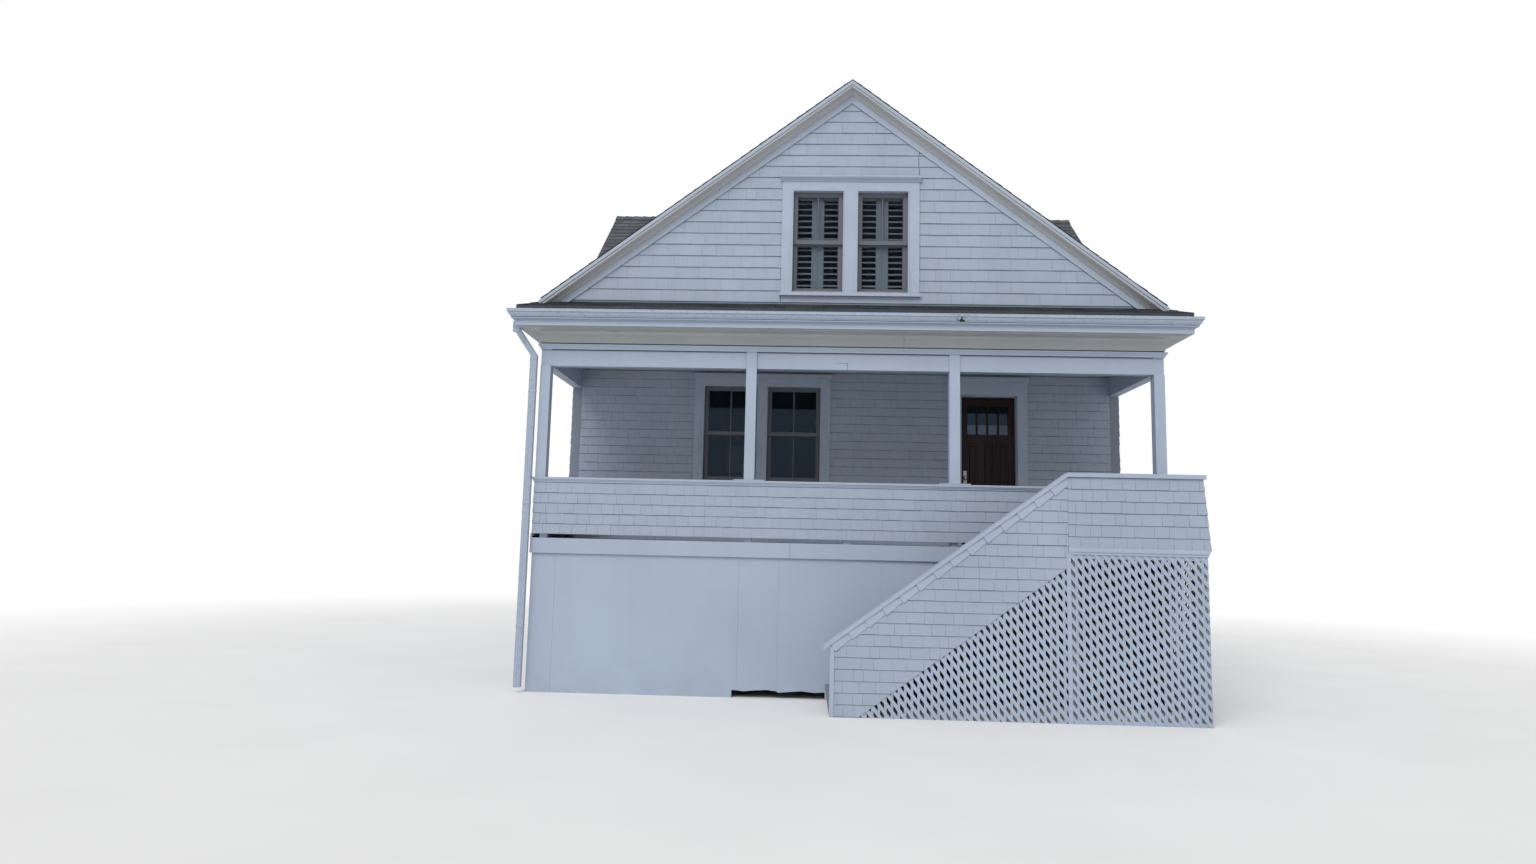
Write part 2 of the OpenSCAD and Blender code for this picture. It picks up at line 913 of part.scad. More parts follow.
// Turns a front window to the right-hand wall plane at half width x.
module on_right(x, y) {
    translate([x, y, 0]) rotate([0, 0, 90]) children();
}

module porch_windows() {
    color("#c0c6ca")
    translate([0, porch_d, 0]) window_unit(porch_win, win_w, win_z, win_h, crown_top_z);
}

// A pair of attic windows from z, with head board and crown over them.
module attic_pair(z, h, over) {
    window_unit(gable_win, gable_win_w, z, h, z + h + over);
}

module gable_windows() {
    color("#c0c6ca") attic_pair(gable_win_z, gable_win_h, head_h + crown_h);
}

module gable_shutters() {
    top_z = gable_win_z + gable_win_h - shutter_side_gap;
    color("#8e9aa8")
    for (x = gable_win) {
        box([x + shutter_side_gap, wall_t - shutter_t - shutter_in, gable_win_z + seat_gap],
            [x + gable_win_w - shutter_side_gap, wall_t - shutter_in, top_z]);
    }
}

module side_windows() {
    color("#c0c6ca") {
        both_sides()
        for (y = side_win_y) {
            on_right(half_w, y) window_unit([-win_w / 2], win_w, win_z, win_h, crown_top_z);
        }
        for (x = back_win_x) {
            mirror_depth() window_unit([x - win_w / 2], win_w, win_z, win_h, crown_top_z);
        }
    }
}

module attic_windows() {
    color("#c0c6ca") {
        both_sides() on_right(dormer_face, dormer_y) attic_pair(dormer_win_z, dormer_win_h, dormer_head_h);
        mirror_depth() attic_pair(gable_win_z, gable_win_h, head_h + crown_h);
    }
}

module window_glass() {
    color("#3d4a54") {
        translate([0, porch_d, 0]) window_panes(porch_win, win_w, win_z, win_h);
        window_panes(gable_win, gable_win_w, gable_win_z, gable_win_h);
        both_sides()
        for (y = side_win_y) {
            on_right(half_w, y) window_panes([-win_w / 2], win_w, win_z, win_h);
        }
        for (x = back_win_x) {
            mirror_depth() window_panes([x - win_w / 2], win_w, win_z, win_h);
        }
        both_sides()
        on_right(dormer_face, dormer_y) window_panes(gable_win, gable_win_w, dormer_win_z, dormer_win_h);
        mirror_depth() window_panes(gable_win, gable_win_w, gable_win_z, gable_win_h);
    }
}

/* Stair and landing */

module stair_flight() {
    run = step_d * (risers - 1);
    under = flight_t / cos(atan(stair_slope));
    color("#90979c")
    along_y(concat(
        [[-foot_x, 0]],
        [for (i = [0 : risers - 2]) each [
            [-foot_x + i * step_d, (i + 1) * riser_h],
            [-foot_x + (i + 1) * step_d, (i + 1) * riser_h]
        ]],
        [
            [-foot_x + run, deck_z - riser_h - under],
            [-foot_x + under / (riser_h / step_d), 0]
        ]
    ), rail_back_y, -flight_gap);
}

module landing_deck() {
    color("#90979c")
    union() {
        box([landing_x, rail_front_y, lattice_top], [half_w, 0, deck_z]);
        box([landing_x, rail_back_y, deck_z - riser_h - header_h], [landing_x + header_t, 0, lattice_top]);
        for (x = [landing_x + leg_in, half_w - leg_in - leg_w]) {
            for (y = [rail_front_y + leg_in, -leg_in - leg_w]) {
                box([x, y, 0], [x + leg_w, y + leg_w, lattice_top]);
            }
        }
    }
}

function cap_line(x) = rail_top_z + (x - landing_x) * cap_slope;

module stair_wall() {
    color("#b4bec7")
    along_y([
        [-foot_x, 0],
        [landing_x - (cap_line(landing_x) - rail_band) / cap_slope, 0],
        [landing_x, cap_line(landing_x) - rail_band],
        [landing_x, cap_line(landing_x) - rail_cap_t - seat_gap],
        [-foot_x, cap_line(-foot_x) - rail_cap_t - seat_gap]
    ], rail_front_y, rail_back_y);
}

module landing_wall() {
    color("#b4bec7")
    union() {
        box([landing_x, rail_front_y, deck_z], [half_w - rail_t, rail_back_y, rail_top_z - rail_cap_t]);
        along_y([
            [side_rail_x, deck_z],
            [half_w + flare / 2, deck_z],
            [half_w - flare / 2, rail_top_z - rail_cap_t],
            [side_rail_x, rail_top_z - rail_cap_t]
        ], rail_front_y, side_rail_y);
    }
}

module stair_caps() {
    lo = rail_front_y - rail_cap_over;
    hi = rail_back_y + rail_cap_over;
    color("#cad2d8")
    union() {
        along_y([
            [-foot_x - rail_tip, cap_line(-foot_x - rail_tip)],
            [-foot_x - rail_tip, cap_line(-foot_x - rail_tip) - rail_cap_t],
            [landing_x, cap_line(landing_x) - rail_cap_t],
            [landing_x, cap_line(landing_x)]
        ], lo, hi);
        box([landing_x, lo, rail_top_z - rail_cap_t], [half_w, hi, rail_top_z]);
        box([side_rail_x - rail_cap_over, hi, rail_top_z - rail_cap_t], [half_w, side_rail_y, rail_top_z]);
    }
}

// Centres of the openings between slanted strips and upright slats, clear of the sheet's border.
function lattice_centres(w, h) = [
    for (i = [0 : floor((w - 2 * strip_edge - hole_w) / slat_pitch)])
    for (j = [0 : ceil((h + w * strip_tan) / strip_rise)])
    let (c = [strip_edge + hole_w / 2 + i * slat_pitch, j * strip_rise - i * slat_pitch * strip_tan])
    if (c[1] - hole_reach > strip_edge && c[1] + hole_reach < h - strip_edge) c
];

function lattice_open(c) = [
    c + [-hole_w / 2, hole_reach],
    c + [-hole_w / 2, hole_reach - hole_h],
    c + [hole_w / 2, -hole_reach],
    c + [hole_w / 2, hole_h - hole_reach]
];

// A sheet of crossing strips: its outline, then the four corners of each opening.
module lattice_sheet(outline, centres) {
    n = len(outline);
    linear_extrude(height = strip_t)
    polygon(
        points = concat(outline, [for (c = centres) each lattice_open(c)]),
        paths = concat(
            [[for (k = [0 : n - 1]) k]],
            [for (k = [0 : len(centres) - 1]) [for (m = [0 : 3]) n + 4 * k + m]]
        )
    );
}

// The triangle below the stair wall.
module lattice_stair() {
    x0 = landing_x - (cap_line(landing_x) - rail_band) / cap_slope + stair_lattice_end;
    w = landing_x - x0;
    h = w * cap_slope;
    color("#b9c3cb")
    translate([x0, rail_front_y + strip_t, 0]) rotate([90, 0, 0])
    lattice_sheet([[0, 0], [w, 0], [w, h - seat_gap]], [
        for (c = lattice_centres(w, h))
        if (c[1] + hole_reach + strip_edge < (c[0] - hole_w / 2) * cap_slope) c
    ]);
}

module lattice_landing() {
    w = half_w - landing_x - seat_gap;
    color("#b9c3cb")
    translate([landing_x + seat_gap, rail_front_y + strip_t, 0]) rotate([90, 0, 0])
    lattice_sheet([[0, 0], [w, 0], [w, lattice_top], [0, lattice_top]], lattice_centres(w, lattice_top));
}

module lattice_side() {
    w = stair_w - strip_t;
    color("#b9c3cb")
    translate([half_w - strip_t, -w, 0]) rotate([90, 0, 90])
    lattice_sheet([[0, 0], [w, 0], [w, lattice_top], [0, lattice_top]], lattice_centres(w, lattice_top));
}

base_front();
base_sides();
base_back();
skirt_board();
porch_floor();
main_floor();
front_wall_left();
front_wall_right();
front_wall_over_door();
left_wall();
right_wall();
back_wall();
attic_floor();
front_gable();
back_gable();
roof_left();
roof_right();
dormer_wall_left();
dormer_wall_right();
dormer_roofs();
pent_front();
pent_back();
rake_boards();
gutters();
downspout();
porch_beams();
porch_posts();
porch_parapet();
porch_caps();
door_frame();
frame_hinges();
front_door();
door_glass();
door_hardware();
porch_windows();
gable_windows();
gable_shutters();
side_windows();
attic_windows();
window_glass();
stair_flight();
landing_deck();
stair_wall();
landing_wall();
stair_caps();
lattice_stair();
lattice_landing();
lattice_side();
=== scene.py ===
import math
from functools import partial

import bmesh
import bpy
from mathutils import Matrix, Vector


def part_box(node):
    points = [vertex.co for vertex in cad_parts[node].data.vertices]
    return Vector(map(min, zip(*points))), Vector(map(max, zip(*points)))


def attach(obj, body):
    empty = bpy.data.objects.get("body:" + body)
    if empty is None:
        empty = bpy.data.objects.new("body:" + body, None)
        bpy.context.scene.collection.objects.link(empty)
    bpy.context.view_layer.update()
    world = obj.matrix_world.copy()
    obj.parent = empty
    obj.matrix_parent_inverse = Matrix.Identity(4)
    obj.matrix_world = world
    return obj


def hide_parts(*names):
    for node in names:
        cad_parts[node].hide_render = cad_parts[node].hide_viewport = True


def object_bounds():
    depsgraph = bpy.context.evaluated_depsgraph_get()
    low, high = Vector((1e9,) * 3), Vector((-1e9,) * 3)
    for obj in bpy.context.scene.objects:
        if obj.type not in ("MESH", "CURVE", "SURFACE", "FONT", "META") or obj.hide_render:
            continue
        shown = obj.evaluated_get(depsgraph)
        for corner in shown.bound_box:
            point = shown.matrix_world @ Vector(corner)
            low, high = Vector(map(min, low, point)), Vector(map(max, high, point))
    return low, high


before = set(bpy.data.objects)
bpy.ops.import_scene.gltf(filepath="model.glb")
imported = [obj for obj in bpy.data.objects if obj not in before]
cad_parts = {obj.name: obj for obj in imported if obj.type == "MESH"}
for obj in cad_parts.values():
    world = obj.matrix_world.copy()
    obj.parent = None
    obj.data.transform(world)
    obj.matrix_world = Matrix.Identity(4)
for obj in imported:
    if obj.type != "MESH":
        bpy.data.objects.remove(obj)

bl_info = {
    "name": "Beach house dressing",
    "version": (1, 0, 0),
    "blender": (4, 5, 0),
    "location": "View3D > Sidebar > Beach house",
    "description": "Shingles, boards, windows and paint for a raised beach house with a porch",
    "category": "Object",
}

CAD_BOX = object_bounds()
UP = Vector((0, 0, 1))
FRONT, BACK = Vector((0, -1, 0)), Vector((0, 1, 0))
LEFT, RIGHT = Vector((-1, 0, 0)), Vector((1, 0, 0))
SIDES = (-1, 1)

# Main lines of the house, in metres, read from the frame where a node shows them.
HALF_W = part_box("skirt_board")[1].x
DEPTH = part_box("back_wall")[1].y
PORCH_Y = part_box("front_wall_left")[0].y
BASE_Z, DECK_Z = (corner.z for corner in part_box("porch_floor"))
CEIL_Z, ATTIC_Z = (corner.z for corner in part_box("attic_floor"))
RIDGE_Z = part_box("roof_left")[1].z
EAVE_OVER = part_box("roof_right")[1].x - HALF_W
PITCH = math.radians(36.9)
TAN = math.tan(PITCH)
EAVE_Z = RIDGE_Z - HALF_W * TAN
EAVE_DROP = 0.116
SOFFIT_T = 0.012
FLARE_ANGLE = math.atan(EAVE_DROP / EAVE_OVER)
RAKE_OVER = 0.12
RAKE_LOW = 0.248
DORMER_Y = 3.5
DORMER_END, _, DORMER_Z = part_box("dormer_roofs")[1]
DORMER_PITCH = math.radians(40)
DORMER_TAN = math.tan(DORMER_PITCH)
DORMER_HALF = 1.8
DORMER_OVER = 0.13
DORMER_T = 0.15
DORMER_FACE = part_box("dormer_wall_right")[1].x
CAP_Z, CAP_TOP_Z = (corner.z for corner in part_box("porch_caps"))
BEAM_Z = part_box("porch_beams")[0].z
POST_W = 0.125
SLOT_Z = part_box("porch_parapet")[0].z + 0.05
GUTTER_TOP_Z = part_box("gutters")[1].z
LANDING_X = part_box("landing_deck")[0].x
FOOT_X, STAIR_Y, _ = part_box("stair_wall")[0]
LANDING_TOP_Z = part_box("stair_caps")[1].z
FOOT_CAP_Z = 0.784
RAIL_CAP_T = 0.045
CAP_SLOPE = (LANDING_TOP_Z - FOOT_CAP_Z) / (LANDING_X - FOOT_X)
CAP_OUT = Vector((-CAP_SLOPE, 0, 1)).normalized()
RAIL_BAND = 1.0
LATTICE_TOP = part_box("lattice_landing")[1].z
FLARE = 0.06

# Windows: sashes, casings, and how far the shingles run below the casings.
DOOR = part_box("door_frame")
PORCH_WINDOWS, GABLE_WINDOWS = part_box("porch_windows"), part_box("gable_windows")
SIDE_WINDOWS = (PORCH_Y + 1.75, DEPTH - 1.9)
BACK_WINDOWS = (-1.9, 1.9)
CASING_W = 0.138
CASING_T = 0.025
CROWN_SIDE = 0.02
CROWN_Z = CEIL_Z - 0.043
SASH_W, SASH_H = 0.727, 1.3
SASH_Z = DECK_Z + 0.843
SILL_T = 0.062
PORCH_MULL = 0.145
GABLE_SASH_W, GABLE_SASH_H = 0.612, 1.264
GABLE_SASH_Z = ATTIC_Z + 0.522
GABLE_MULL = 0.181
DORMER_SASH_H = 0.65
DORMER_SASH_Z = EAVE_Z + (HALF_W - DORMER_FACE + 0.15) * TAN + 0.06
DORMER_CROWN_Z = DORMER_SASH_Z + DORMER_SASH_H + 0.09
LAP_SIDE, LAP_LOW, LAP_TOP = 0.025, 0.055, 0.07
SASH_BACK = 0.036

# The camera of the photograph, in metres, degrees and millimetres, and the pale floor.
CAMERA_AT = (-0.5099, -11.2347, 1.7754)
CAMERA_PITCH, CAMERA_YAW, CAMERA_ROLL = (math.radians(a) for a in (6.8087, 2.2726, 1.2836))
LENS, SENSOR, VIEW_END = 22.1301, 36.0, 400
FLOOR_HALF = 90.0
FLOOR_MIDDLE, FADE_START, FADE_END = (0, 4.0, 0), 11.0, 19.0


class BeachHouseShingles(bpy.types.PropertyGroup):
    exposure: bpy.props.FloatProperty(
        name="Course height", description="Height of a wall shingle course that shows",
        default=0.119, min=0.08, max=0.2, unit="LENGTH")
    gable_exposure: bpy.props.FloatProperty(
        name="Gable course height", description="Height of a course in the gables that shows",
        default=0.146, min=0.1, max=0.2, unit="LENGTH")
    width: bpy.props.FloatProperty(
        name="Shingle width", description="Mean width of a wall shingle",
        default=0.165, min=0.06, max=0.3, unit="LENGTH")
    butt: bpy.props.FloatProperty(
        name="Butt thickness", description="Thickness of a wall shingle at its lower edge",
        default=0.011, min=0.004, max=0.02, unit="LENGTH")
    seed: bpy.props.IntProperty(
        name="Seed", description="Start value of the random joints", default=7, min=0)


class BeachHouseRoof(bpy.types.PropertyGroup):
    exposure: bpy.props.FloatProperty(
        name="Course height", description="Height of a roof shingle course that shows",
        default=0.142, min=0.1, max=0.2, unit="LENGTH")
    tab: bpy.props.FloatProperty(
        name="Tab width", description="Mean width of a roof shingle tab",
        default=0.24, min=0.1, max=0.4, unit="LENGTH")
    butt: bpy.props.FloatProperty(
        name="Tab thickness", description="Thickness of a roof shingle tab at its lower edge",
        default=0.008, min=0.003, max=0.015, unit="LENGTH")


class BeachHouseTrim(bpy.types.PropertyGroup):
    bar: bpy.props.FloatProperty(
        name="Bar width", description="Width of the bars in the sashes",
        default=0.022, min=0.015, max=0.04, unit="LENGTH")
    louvre: bpy.props.FloatProperty(
        name="Louvre spacing", description="Spacing of the shutter louvres",
        default=0.0706, min=0.04, max=0.1, unit="LENGTH")
    strip: bpy.props.FloatProperty(
        name="Lattice strip", description="Width of a slanted lattice strip",
        default=0.037, min=0.03, max=0.06, unit="LENGTH")
    slat: bpy.props.FloatProperty(
        name="Lattice slat", description="Width of an upright lattice slat",
        default=0.027, min=0.02, max=0.05, unit="LENGTH")


class BeachHouseColours(bpy.types.PropertyGroup):
    # The default is darker and bluer than the white paint: the sky-lit shade of the house front
    # painted into the colour.
    white: bpy.props.FloatVectorProperty(
        name="White paint", description="Paint of the trim and the wall shingles",
        default=(0.325, 0.382, 0.475), subtype="COLOR", size=3, min=0, max=1)
    roof: bpy.props.FloatVectorProperty(
        name="Roof", description="Mean colour of the main roof's granules",
        default=(0.036, 0.042, 0.050), subtype="COLOR", size=3, min=0, max=1)
    dormer: bpy.props.FloatVectorProperty(
        name="Dormer roof", description="Mean colour of the weathered dormer shingles",
        default=(0.115, 0.122, 0.135), subtype="COLOR", size=3, min=0, max=1)
    sash: bpy.props.FloatVectorProperty(
        name="Sash paint", description="Paint of the sashes and their bars",
        default=(0.108, 0.118, 0.142), subtype="COLOR", size=3, min=0, max=1)
    shutter: bpy.props.FloatVectorProperty(
        name="Shutter paint", description="Paint of the louvred shutters",
        default=(0.17, 0.22, 0.28), subtype="COLOR", size=3, min=0, max=1)
    door: bpy.props.FloatVectorProperty(
        name="Door stain", description="Stain of the front door",
        default=(0.013, 0.0045, 0.0055), subtype="COLOR", size=3, min=0, max=1)
    boards: bpy.props.FloatVectorProperty(
        name="Floor paint", description="Paint of the porch floor and the steps",
        default=(0.20, 0.22, 0.24), subtype="COLOR", size=3, min=0, max=1)


class BeachHouseStage(bpy.types.PropertyGroup):
    sky: bpy.props.FloatProperty(
        name="Soft light", description="Strength of the even light from all around",
        default=0.66, min=0, max=3)
    sun: bpy.props.FloatProperty(
        name="Key light", description="Strength of the soft light from above",
        default=1.5, min=0, max=5)


# Drawing and joining meshes


def across_x(y, z, x):
    """Places an outline of Y and Z points at x."""
    return (x, y, z)


def across_y(x, z, y):
    """Places an outline of X and Z points at depth y."""
    return (x, y, z)


def across_z(x, y, z):
    """Places an outline of X and Y points at height z."""
    return (x, y, z)


class Shape:
    """Corners and faces of a part while it is drawn."""

    def __init__(self, *boxes):
        self.corners, self.faces = [], []
        for low, high in boxes:
            self.box(low, high)

    def box(self, low, high):
        """A box between two opposite corners."""
        (x0, x1), (y0, y1), (z0, z1) = map(sorted, zip(low, high))
        self.prism([(x0, y0), (x1, y0), (x1, y1), (x0, y1)], across_z, z0, z1)

    def prism(self, outline, place, start, end):
        """An outline of (u, v) points carried along w, each placed by place(u, v, w)."""
        return self.rings([[place(u, v, w) for u, v in outline] for w in (start, end)])

    def rings(self, rings):
        """A skin over matching rings of points, closed at its ends."""
        first, count = len(self.corners), len(rings[0])
        self.corners += [tuple(point) for ring in rings for point in ring]
        last = len(self.corners) - count
        for start in range(first, last, count):
            for i in range(count):
                j = (i + 1) % count
                self.faces.append((start + i, start + j, start + count + j, start + count + i))
        self.faces.append(tuple(reversed(range(first, first + count))))
        self.faces.append(tuple(range(last, last + count)))
        return self

    def mesh(self, where=None):
        """The drawn faces as a mesh that points outwards, set on a surface if one is given."""
        work = bmesh.new()
        points = [work.verts.new(corner) for corner in self.corners]
        for face in self.faces:
            work.faces.new([points[i] for i in face])
        bmesh.ops.recalc_face_normals(work, faces=work.faces)
        made = written(work, bpy.data.meshes.new("part"))
        if where:
            made.transform(where)
        return made


def written(work, mesh):
    """Writes the worked faces into a mesh."""
    work.to_mesh(mesh)
    work.free()
    return mesh


def plane(origin, along, up):
    """Matrix from a surface's own (along, up, out) axes to the frame."""
    along, up = Vector(along).normalized(), Vector(up).normalized()
    turn = Matrix((along, up, along.cross(up))).transposed().to_4x4()
    return Matrix.Translation(origin) @ turn


def wall(x, y, along):
    """Matrix from an upright surface's own axes to the frame."""
    return plane((x, y, 0), along, UP)


def cut(mesh, *planes):
    """Cuts a mesh by (point, outward normal) planes, keeps the inner side and closes the cut."""
    work = bmesh.new()
    work.from_mesh(mesh)
    for point, normal in planes:
        parts = work.verts[:] + work.edges[:] + work.faces[:]
        found = bmesh.ops.bisect_plane(
            work, geom=parts, dist=1e-5, plane_co=point, plane_no=normal, clear_outer=True)
        rim = [e for e in found["geom_cut"] if isinstance(e, bmesh.types.BMEdge) and e.is_boundary]
        bmesh.ops.holes_fill(work, edges=rim, sides=0)
    bmesh.ops.recalc_face_normals(work, faces=work.faces)
    return written(work, mesh)


def piece(name, finish, *parts, body="house", nodes=(), bevel=0.0):
    """One object from drawn shapes and meshes, riding on a body and standing for CAD nodes."""
    work = bmesh.new()
    for part in parts:
        work.from_mesh(part.mesh() if isinstance(part, Shape) else part)
    if bevel:
        edges = [e for e in work.edges if e.is_manifold and e.calc_face_angle(0) > 0.6]
        bmesh.ops.bevel(
            work, geom=edges, offset=bevel, segments=2, affect="EDGES", clamp_overlap=True)
    made = written(work, bpy.data.meshes.new(name))
    made.materials.clear()
    made.materials.append(FINISH[finish])
    thing = bpy.data.objects.new(name, made)
    bpy.context.scene.collection.objects.link(thing)
    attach(thing, body)
    if nodes:
        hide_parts(*nodes)


# Geometry Nodes


class Nodes:
    """A node tree while its nodes are joined."""

    def __init__(self, tree):
        self.tree = tree

    def put(self, socket, value):
        """Sets a socket, or joins it to another socket."""
        if isinstance(value, bpy.types.NodeSocket):
            self.tree.links.new(value, socket)
        else:
            socket.default_value = value[:3] if socket.type == "VECTOR" else value

    def node(self, kind, inputs=(), **options):
        """A node with its options set and its inputs given by name or number."""
        made = self.tree.nodes.new(kind)
        for option, value in options.items():
            setattr(made, option, value)
        for socket, value in dict(inputs).items():
            self.put(made.inputs[socket], value)
        return made.outputs

    def math(self, operation, first, second=0.0):
        """One sum of one or two values."""
        return self.node("ShaderNodeMath", {0: first, 1: second}, operation=operation)[0]


class Tree(Nodes):
    """A Geometry Nodes tree with named inputs."""

    def __init__(self, name, inputs):
        super().__init__(bpy.data.node_groups.new(name, "GeometryNodeTree"))
        face = self.tree.interface
        face.new_socket("Geometry", in_out="INPUT", socket_type="NodeSocketGeometry")
        for label, kind in inputs.items():
            face.new_socket(label, in_out="INPUT", socket_type="NodeSocket" + kind)
        face.new_socket("Geometry", in_out="OUTPUT", socket_type="NodeSocketGeometry")
        self.given = self.node("NodeGroupInput")

    def point(self, x, y, z):
        """A point from three values."""
        return self.node("ShaderNodeCombineXYZ", {0: x, 1: y, 2: z})[0]

    def parts(self, point):
        """The three values of a point."""
        return self.node("ShaderNodeSeparateXYZ", {0: point})

    def chance(self, low, high, number, seed):
        """A fixed random value for a whole number."""
        return self.node("FunctionNodeRandomValue", {2: low, 3: high, 7: number, 8: seed},
                         data_type="FLOAT")[1]

    def store(self, geometry, name, value, domain):
        """Keeps a value with the geometry for the finishes."""
        return self.node("GeometryNodeStoreNamedAttribute",
                         {"Geometry": geometry, "Name": name, "Value": value},
                         data_type="FLOAT", domain=domain)[0]

    def end(self, instances):
        """Gives each instance its tone, makes it real mesh and paints it."""
        index = self.node("GeometryNodeInputIndex")[0]
        tone = self.chance(0.0, 1.0, index, self.given["Seed"])
        toned = self.store(instances, "tone", tone, "INSTANCE")
        real = self.node("GeometryNodeRealizeInstances", {0: toned})[0]
        painted = self.node("GeometryNodeSetMaterial",
                            {"Geometry": real, "Material": self.given["Material"]})[0]
        self.node("NodeGroupOutput", {0: painted})
        return self.tree


def course_tree():
    """Courses of wedge-shaped shingles with uneven joints over a flat outline in X and Y."""
    tree = Tree("Shingle courses", {
        **dict.fromkeys(("Course height", "Shingle width", "Butt thickness", "Top thickness",
                         "Joint gap", "Unevenness", "Stagger"), "Float"),
        "Seed": "Int", "Material": "Material"})
    given = tree.given
    add, minus, times, over, above, most = (partial(tree.math, name) for name in (
        "ADD", "SUBTRACT", "MULTIPLY", "DIVIDE", "GREATER_THAN", "MAXIMUM"))
    area = tree.node("GeometryNodeBoundBox", {0: given["Geometry"]})
    low, high = tree.parts(area["Min"]), tree.parts(area["Max"])
    wide, tall = minus(high[0], low[0]), minus(high[1], low[1])
    rows = most(tree.math("ROUND", over(tall, given["Course height"])), 1.0)
    course = over(tall, rows)
    columns = add(tree.math("CEIL", over(wide, given["Shingle width"])), 2.0)
    index = tree.node("GeometryNodeInputIndex")[0]
    row = tree.math("FLOOR", over(add(index, 0.5), columns))
    column = minus(index, times(row, columns))
    shift = minus(times(tree.math("MODULO", row, 2.0), 0.5), 1.5)

    def joint(number):
        key = add(number, times(row, 4096.0))
        uneven = times(tree.chance(0.0, 1.0, key, given["Seed"]), given["Unevenness"])
        place = add(add(number, shift), uneven)
        reach = add(low[0], times(place, given["Shingle width"]))
        return tree.math("MINIMUM", most(reach, low[0]), high[0])

    left, right = joint(column), joint(add(column, 1.0))
    middle, width = times(add(left, right), 0.5), minus(right, left)
    drop = times(tree.chance(-1.0, 1.0, index, 11), given["Stagger"])
    foot = most(add(add(low[1], times(row, course)), drop), low[1])
    centre = add(low[1], times(add(row, 0.5), course))
    points = tree.node("GeometryNodePoints", {
        "Count": times(rows, columns), "Position": tree.point(middle, foot, -0.001)})[0]
    hit = tree.node("GeometryNodeRaycast", {
        "Target Geometry": given["Geometry"], "Source Position": tree.point(middle, centre, 0.1),
        "Ray Direction": (0, 0, -1), "Ray Length": 1.0})[0]
    kept = above(minus(hit, tree.math("LESS_THAN", width, 0.02)), 0.5)

    cube = tree.node("GeometryNodeMeshCube", {"Size": (1, 1, 1)})[0]
    at = tree.parts(tree.node("GeometryNodeInputPosition")[0])
    thin = minus(given["Top thickness"], given["Butt thickness"])
    thick = add(given["Butt thickness"], times(above(at[1], 0.0), thin))
    shaped = tree.point(at[0], times(add(at[1], 0.5), times(course, 1.04)),
                        times(add(at[2], 0.5), thick))
    marked = tree.store(cube, "reach", add(at[1], 0.5), "POINT")
    shingle = tree.node("GeometryNodeSetPosition", {"Geometry": marked, "Position": shaped})[0]
    size = tree.point(minus(width, given["Joint gap"]), 1.0, tree.chance(0.8, 1.15, index, 5))
    return tree.end(tree.node("GeometryNodeInstanceOnPoints", {
        "Points": points, "Selection": kept, "Instance": shingle, "Scale": size})[0])


def row_tree():
    """Copies of one part at even steps, each with a small random shift."""
    tree = Tree("Row of parts", {"Count": "Int", "Start": "Vector", "Step": "Vector",
                                 "Shift": "Vector", "Seed": "Int", "Material": "Material"})
    given = tree.given
    line = tree.node("GeometryNodeMeshLine", {
        "Count": given["Count"], "Start Location": given["Start"], "Offset": given["Step"]},
        mode="OFFSET")[0]
    index = tree.node("GeometryNodeInputIndex")[0]
    spread = tree.node("FunctionNodeRandomValue", {
        0: (-1, -1, -1), 1: (1, 1, 1), 7: index, 8: given["Seed"]}, data_type="FLOAT_VECTOR")[0]
    shift = tree.node("ShaderNodeVectorMath", {0: spread, 1: given["Shift"]},
                      operation="MULTIPLY")[0]
    moved = tree.node("GeometryNodeSetPosition", {"Geometry": line, "Offset": shift})[0]
    return tree.end(tree.node("GeometryNodeInstanceOnPoints", {
        "Points": moved, "Instance": given["Geometry"]})[0])


def grow(tree, mesh, **inputs):
    """Runs a tree over a mesh and returns the result as a plain mesh."""
    carrier = bpy.data.objects.new("carrier", mesh)
    bpy.context.scene.collection.objects.link(carrier)
    modifier = carrier.modifiers.new("grow", "NODES")
    modifier.node_group = tree
    for item in tree.interface.items_tree:
        key = item.name.lower().replace(" ", "_")
        if item.in_out == "INPUT" and key in inputs:
            modifier[item.identifier] = inputs[key]
    bpy.context.view_layer.update()
    seen = carrier.evaluated_get(bpy.context.evaluated_depsgraph_get())
    made = bpy.data.meshes.new_from_object(seen)
    bpy.data.objects.remove(carrier)
    return made


def row(shape, count, step, start=(0, 0, 0), shift=(0, 0, 0), seed=3):
    """Copies of a drawn shape in an even row."""
    return grow(TREES["row"], shape.mesh(), count=count, start=start, step=step, shift=shift,
                seed=seed)


def outline_mesh(x0, y0, x1, y1, holes):
    """A flat mesh of an outline with rectangular holes left open."""
    xs = sorted({x0, x1, *[v for h in holes for v in (h[0], h[2]) if x0 < v < x1]})
    ys = sorted({y0, y1, *[v for h in holes for v in (h[1], h[3]) if y0 < v < y1]})
    corners, faces = [], []
    for a, b in zip(xs, xs[1:]):
        for c, d in zip(ys, ys[1:]):
            mid_x, mid_y = (a + b) / 2, (c + d) / 2
            if not any(h[0] < mid_x < h[2] and h[1] < mid_y < h[3] for h in holes):
                faces.append(tuple(range(len(corners), len(corners) + 4)))
                corners += [(a, c, 0), (b, c, 0), (b, d, 0), (a, d, 0)]
    made = bpy.data.meshes.new("outline")
    made.from_pydata(corners, [], faces)
    return made


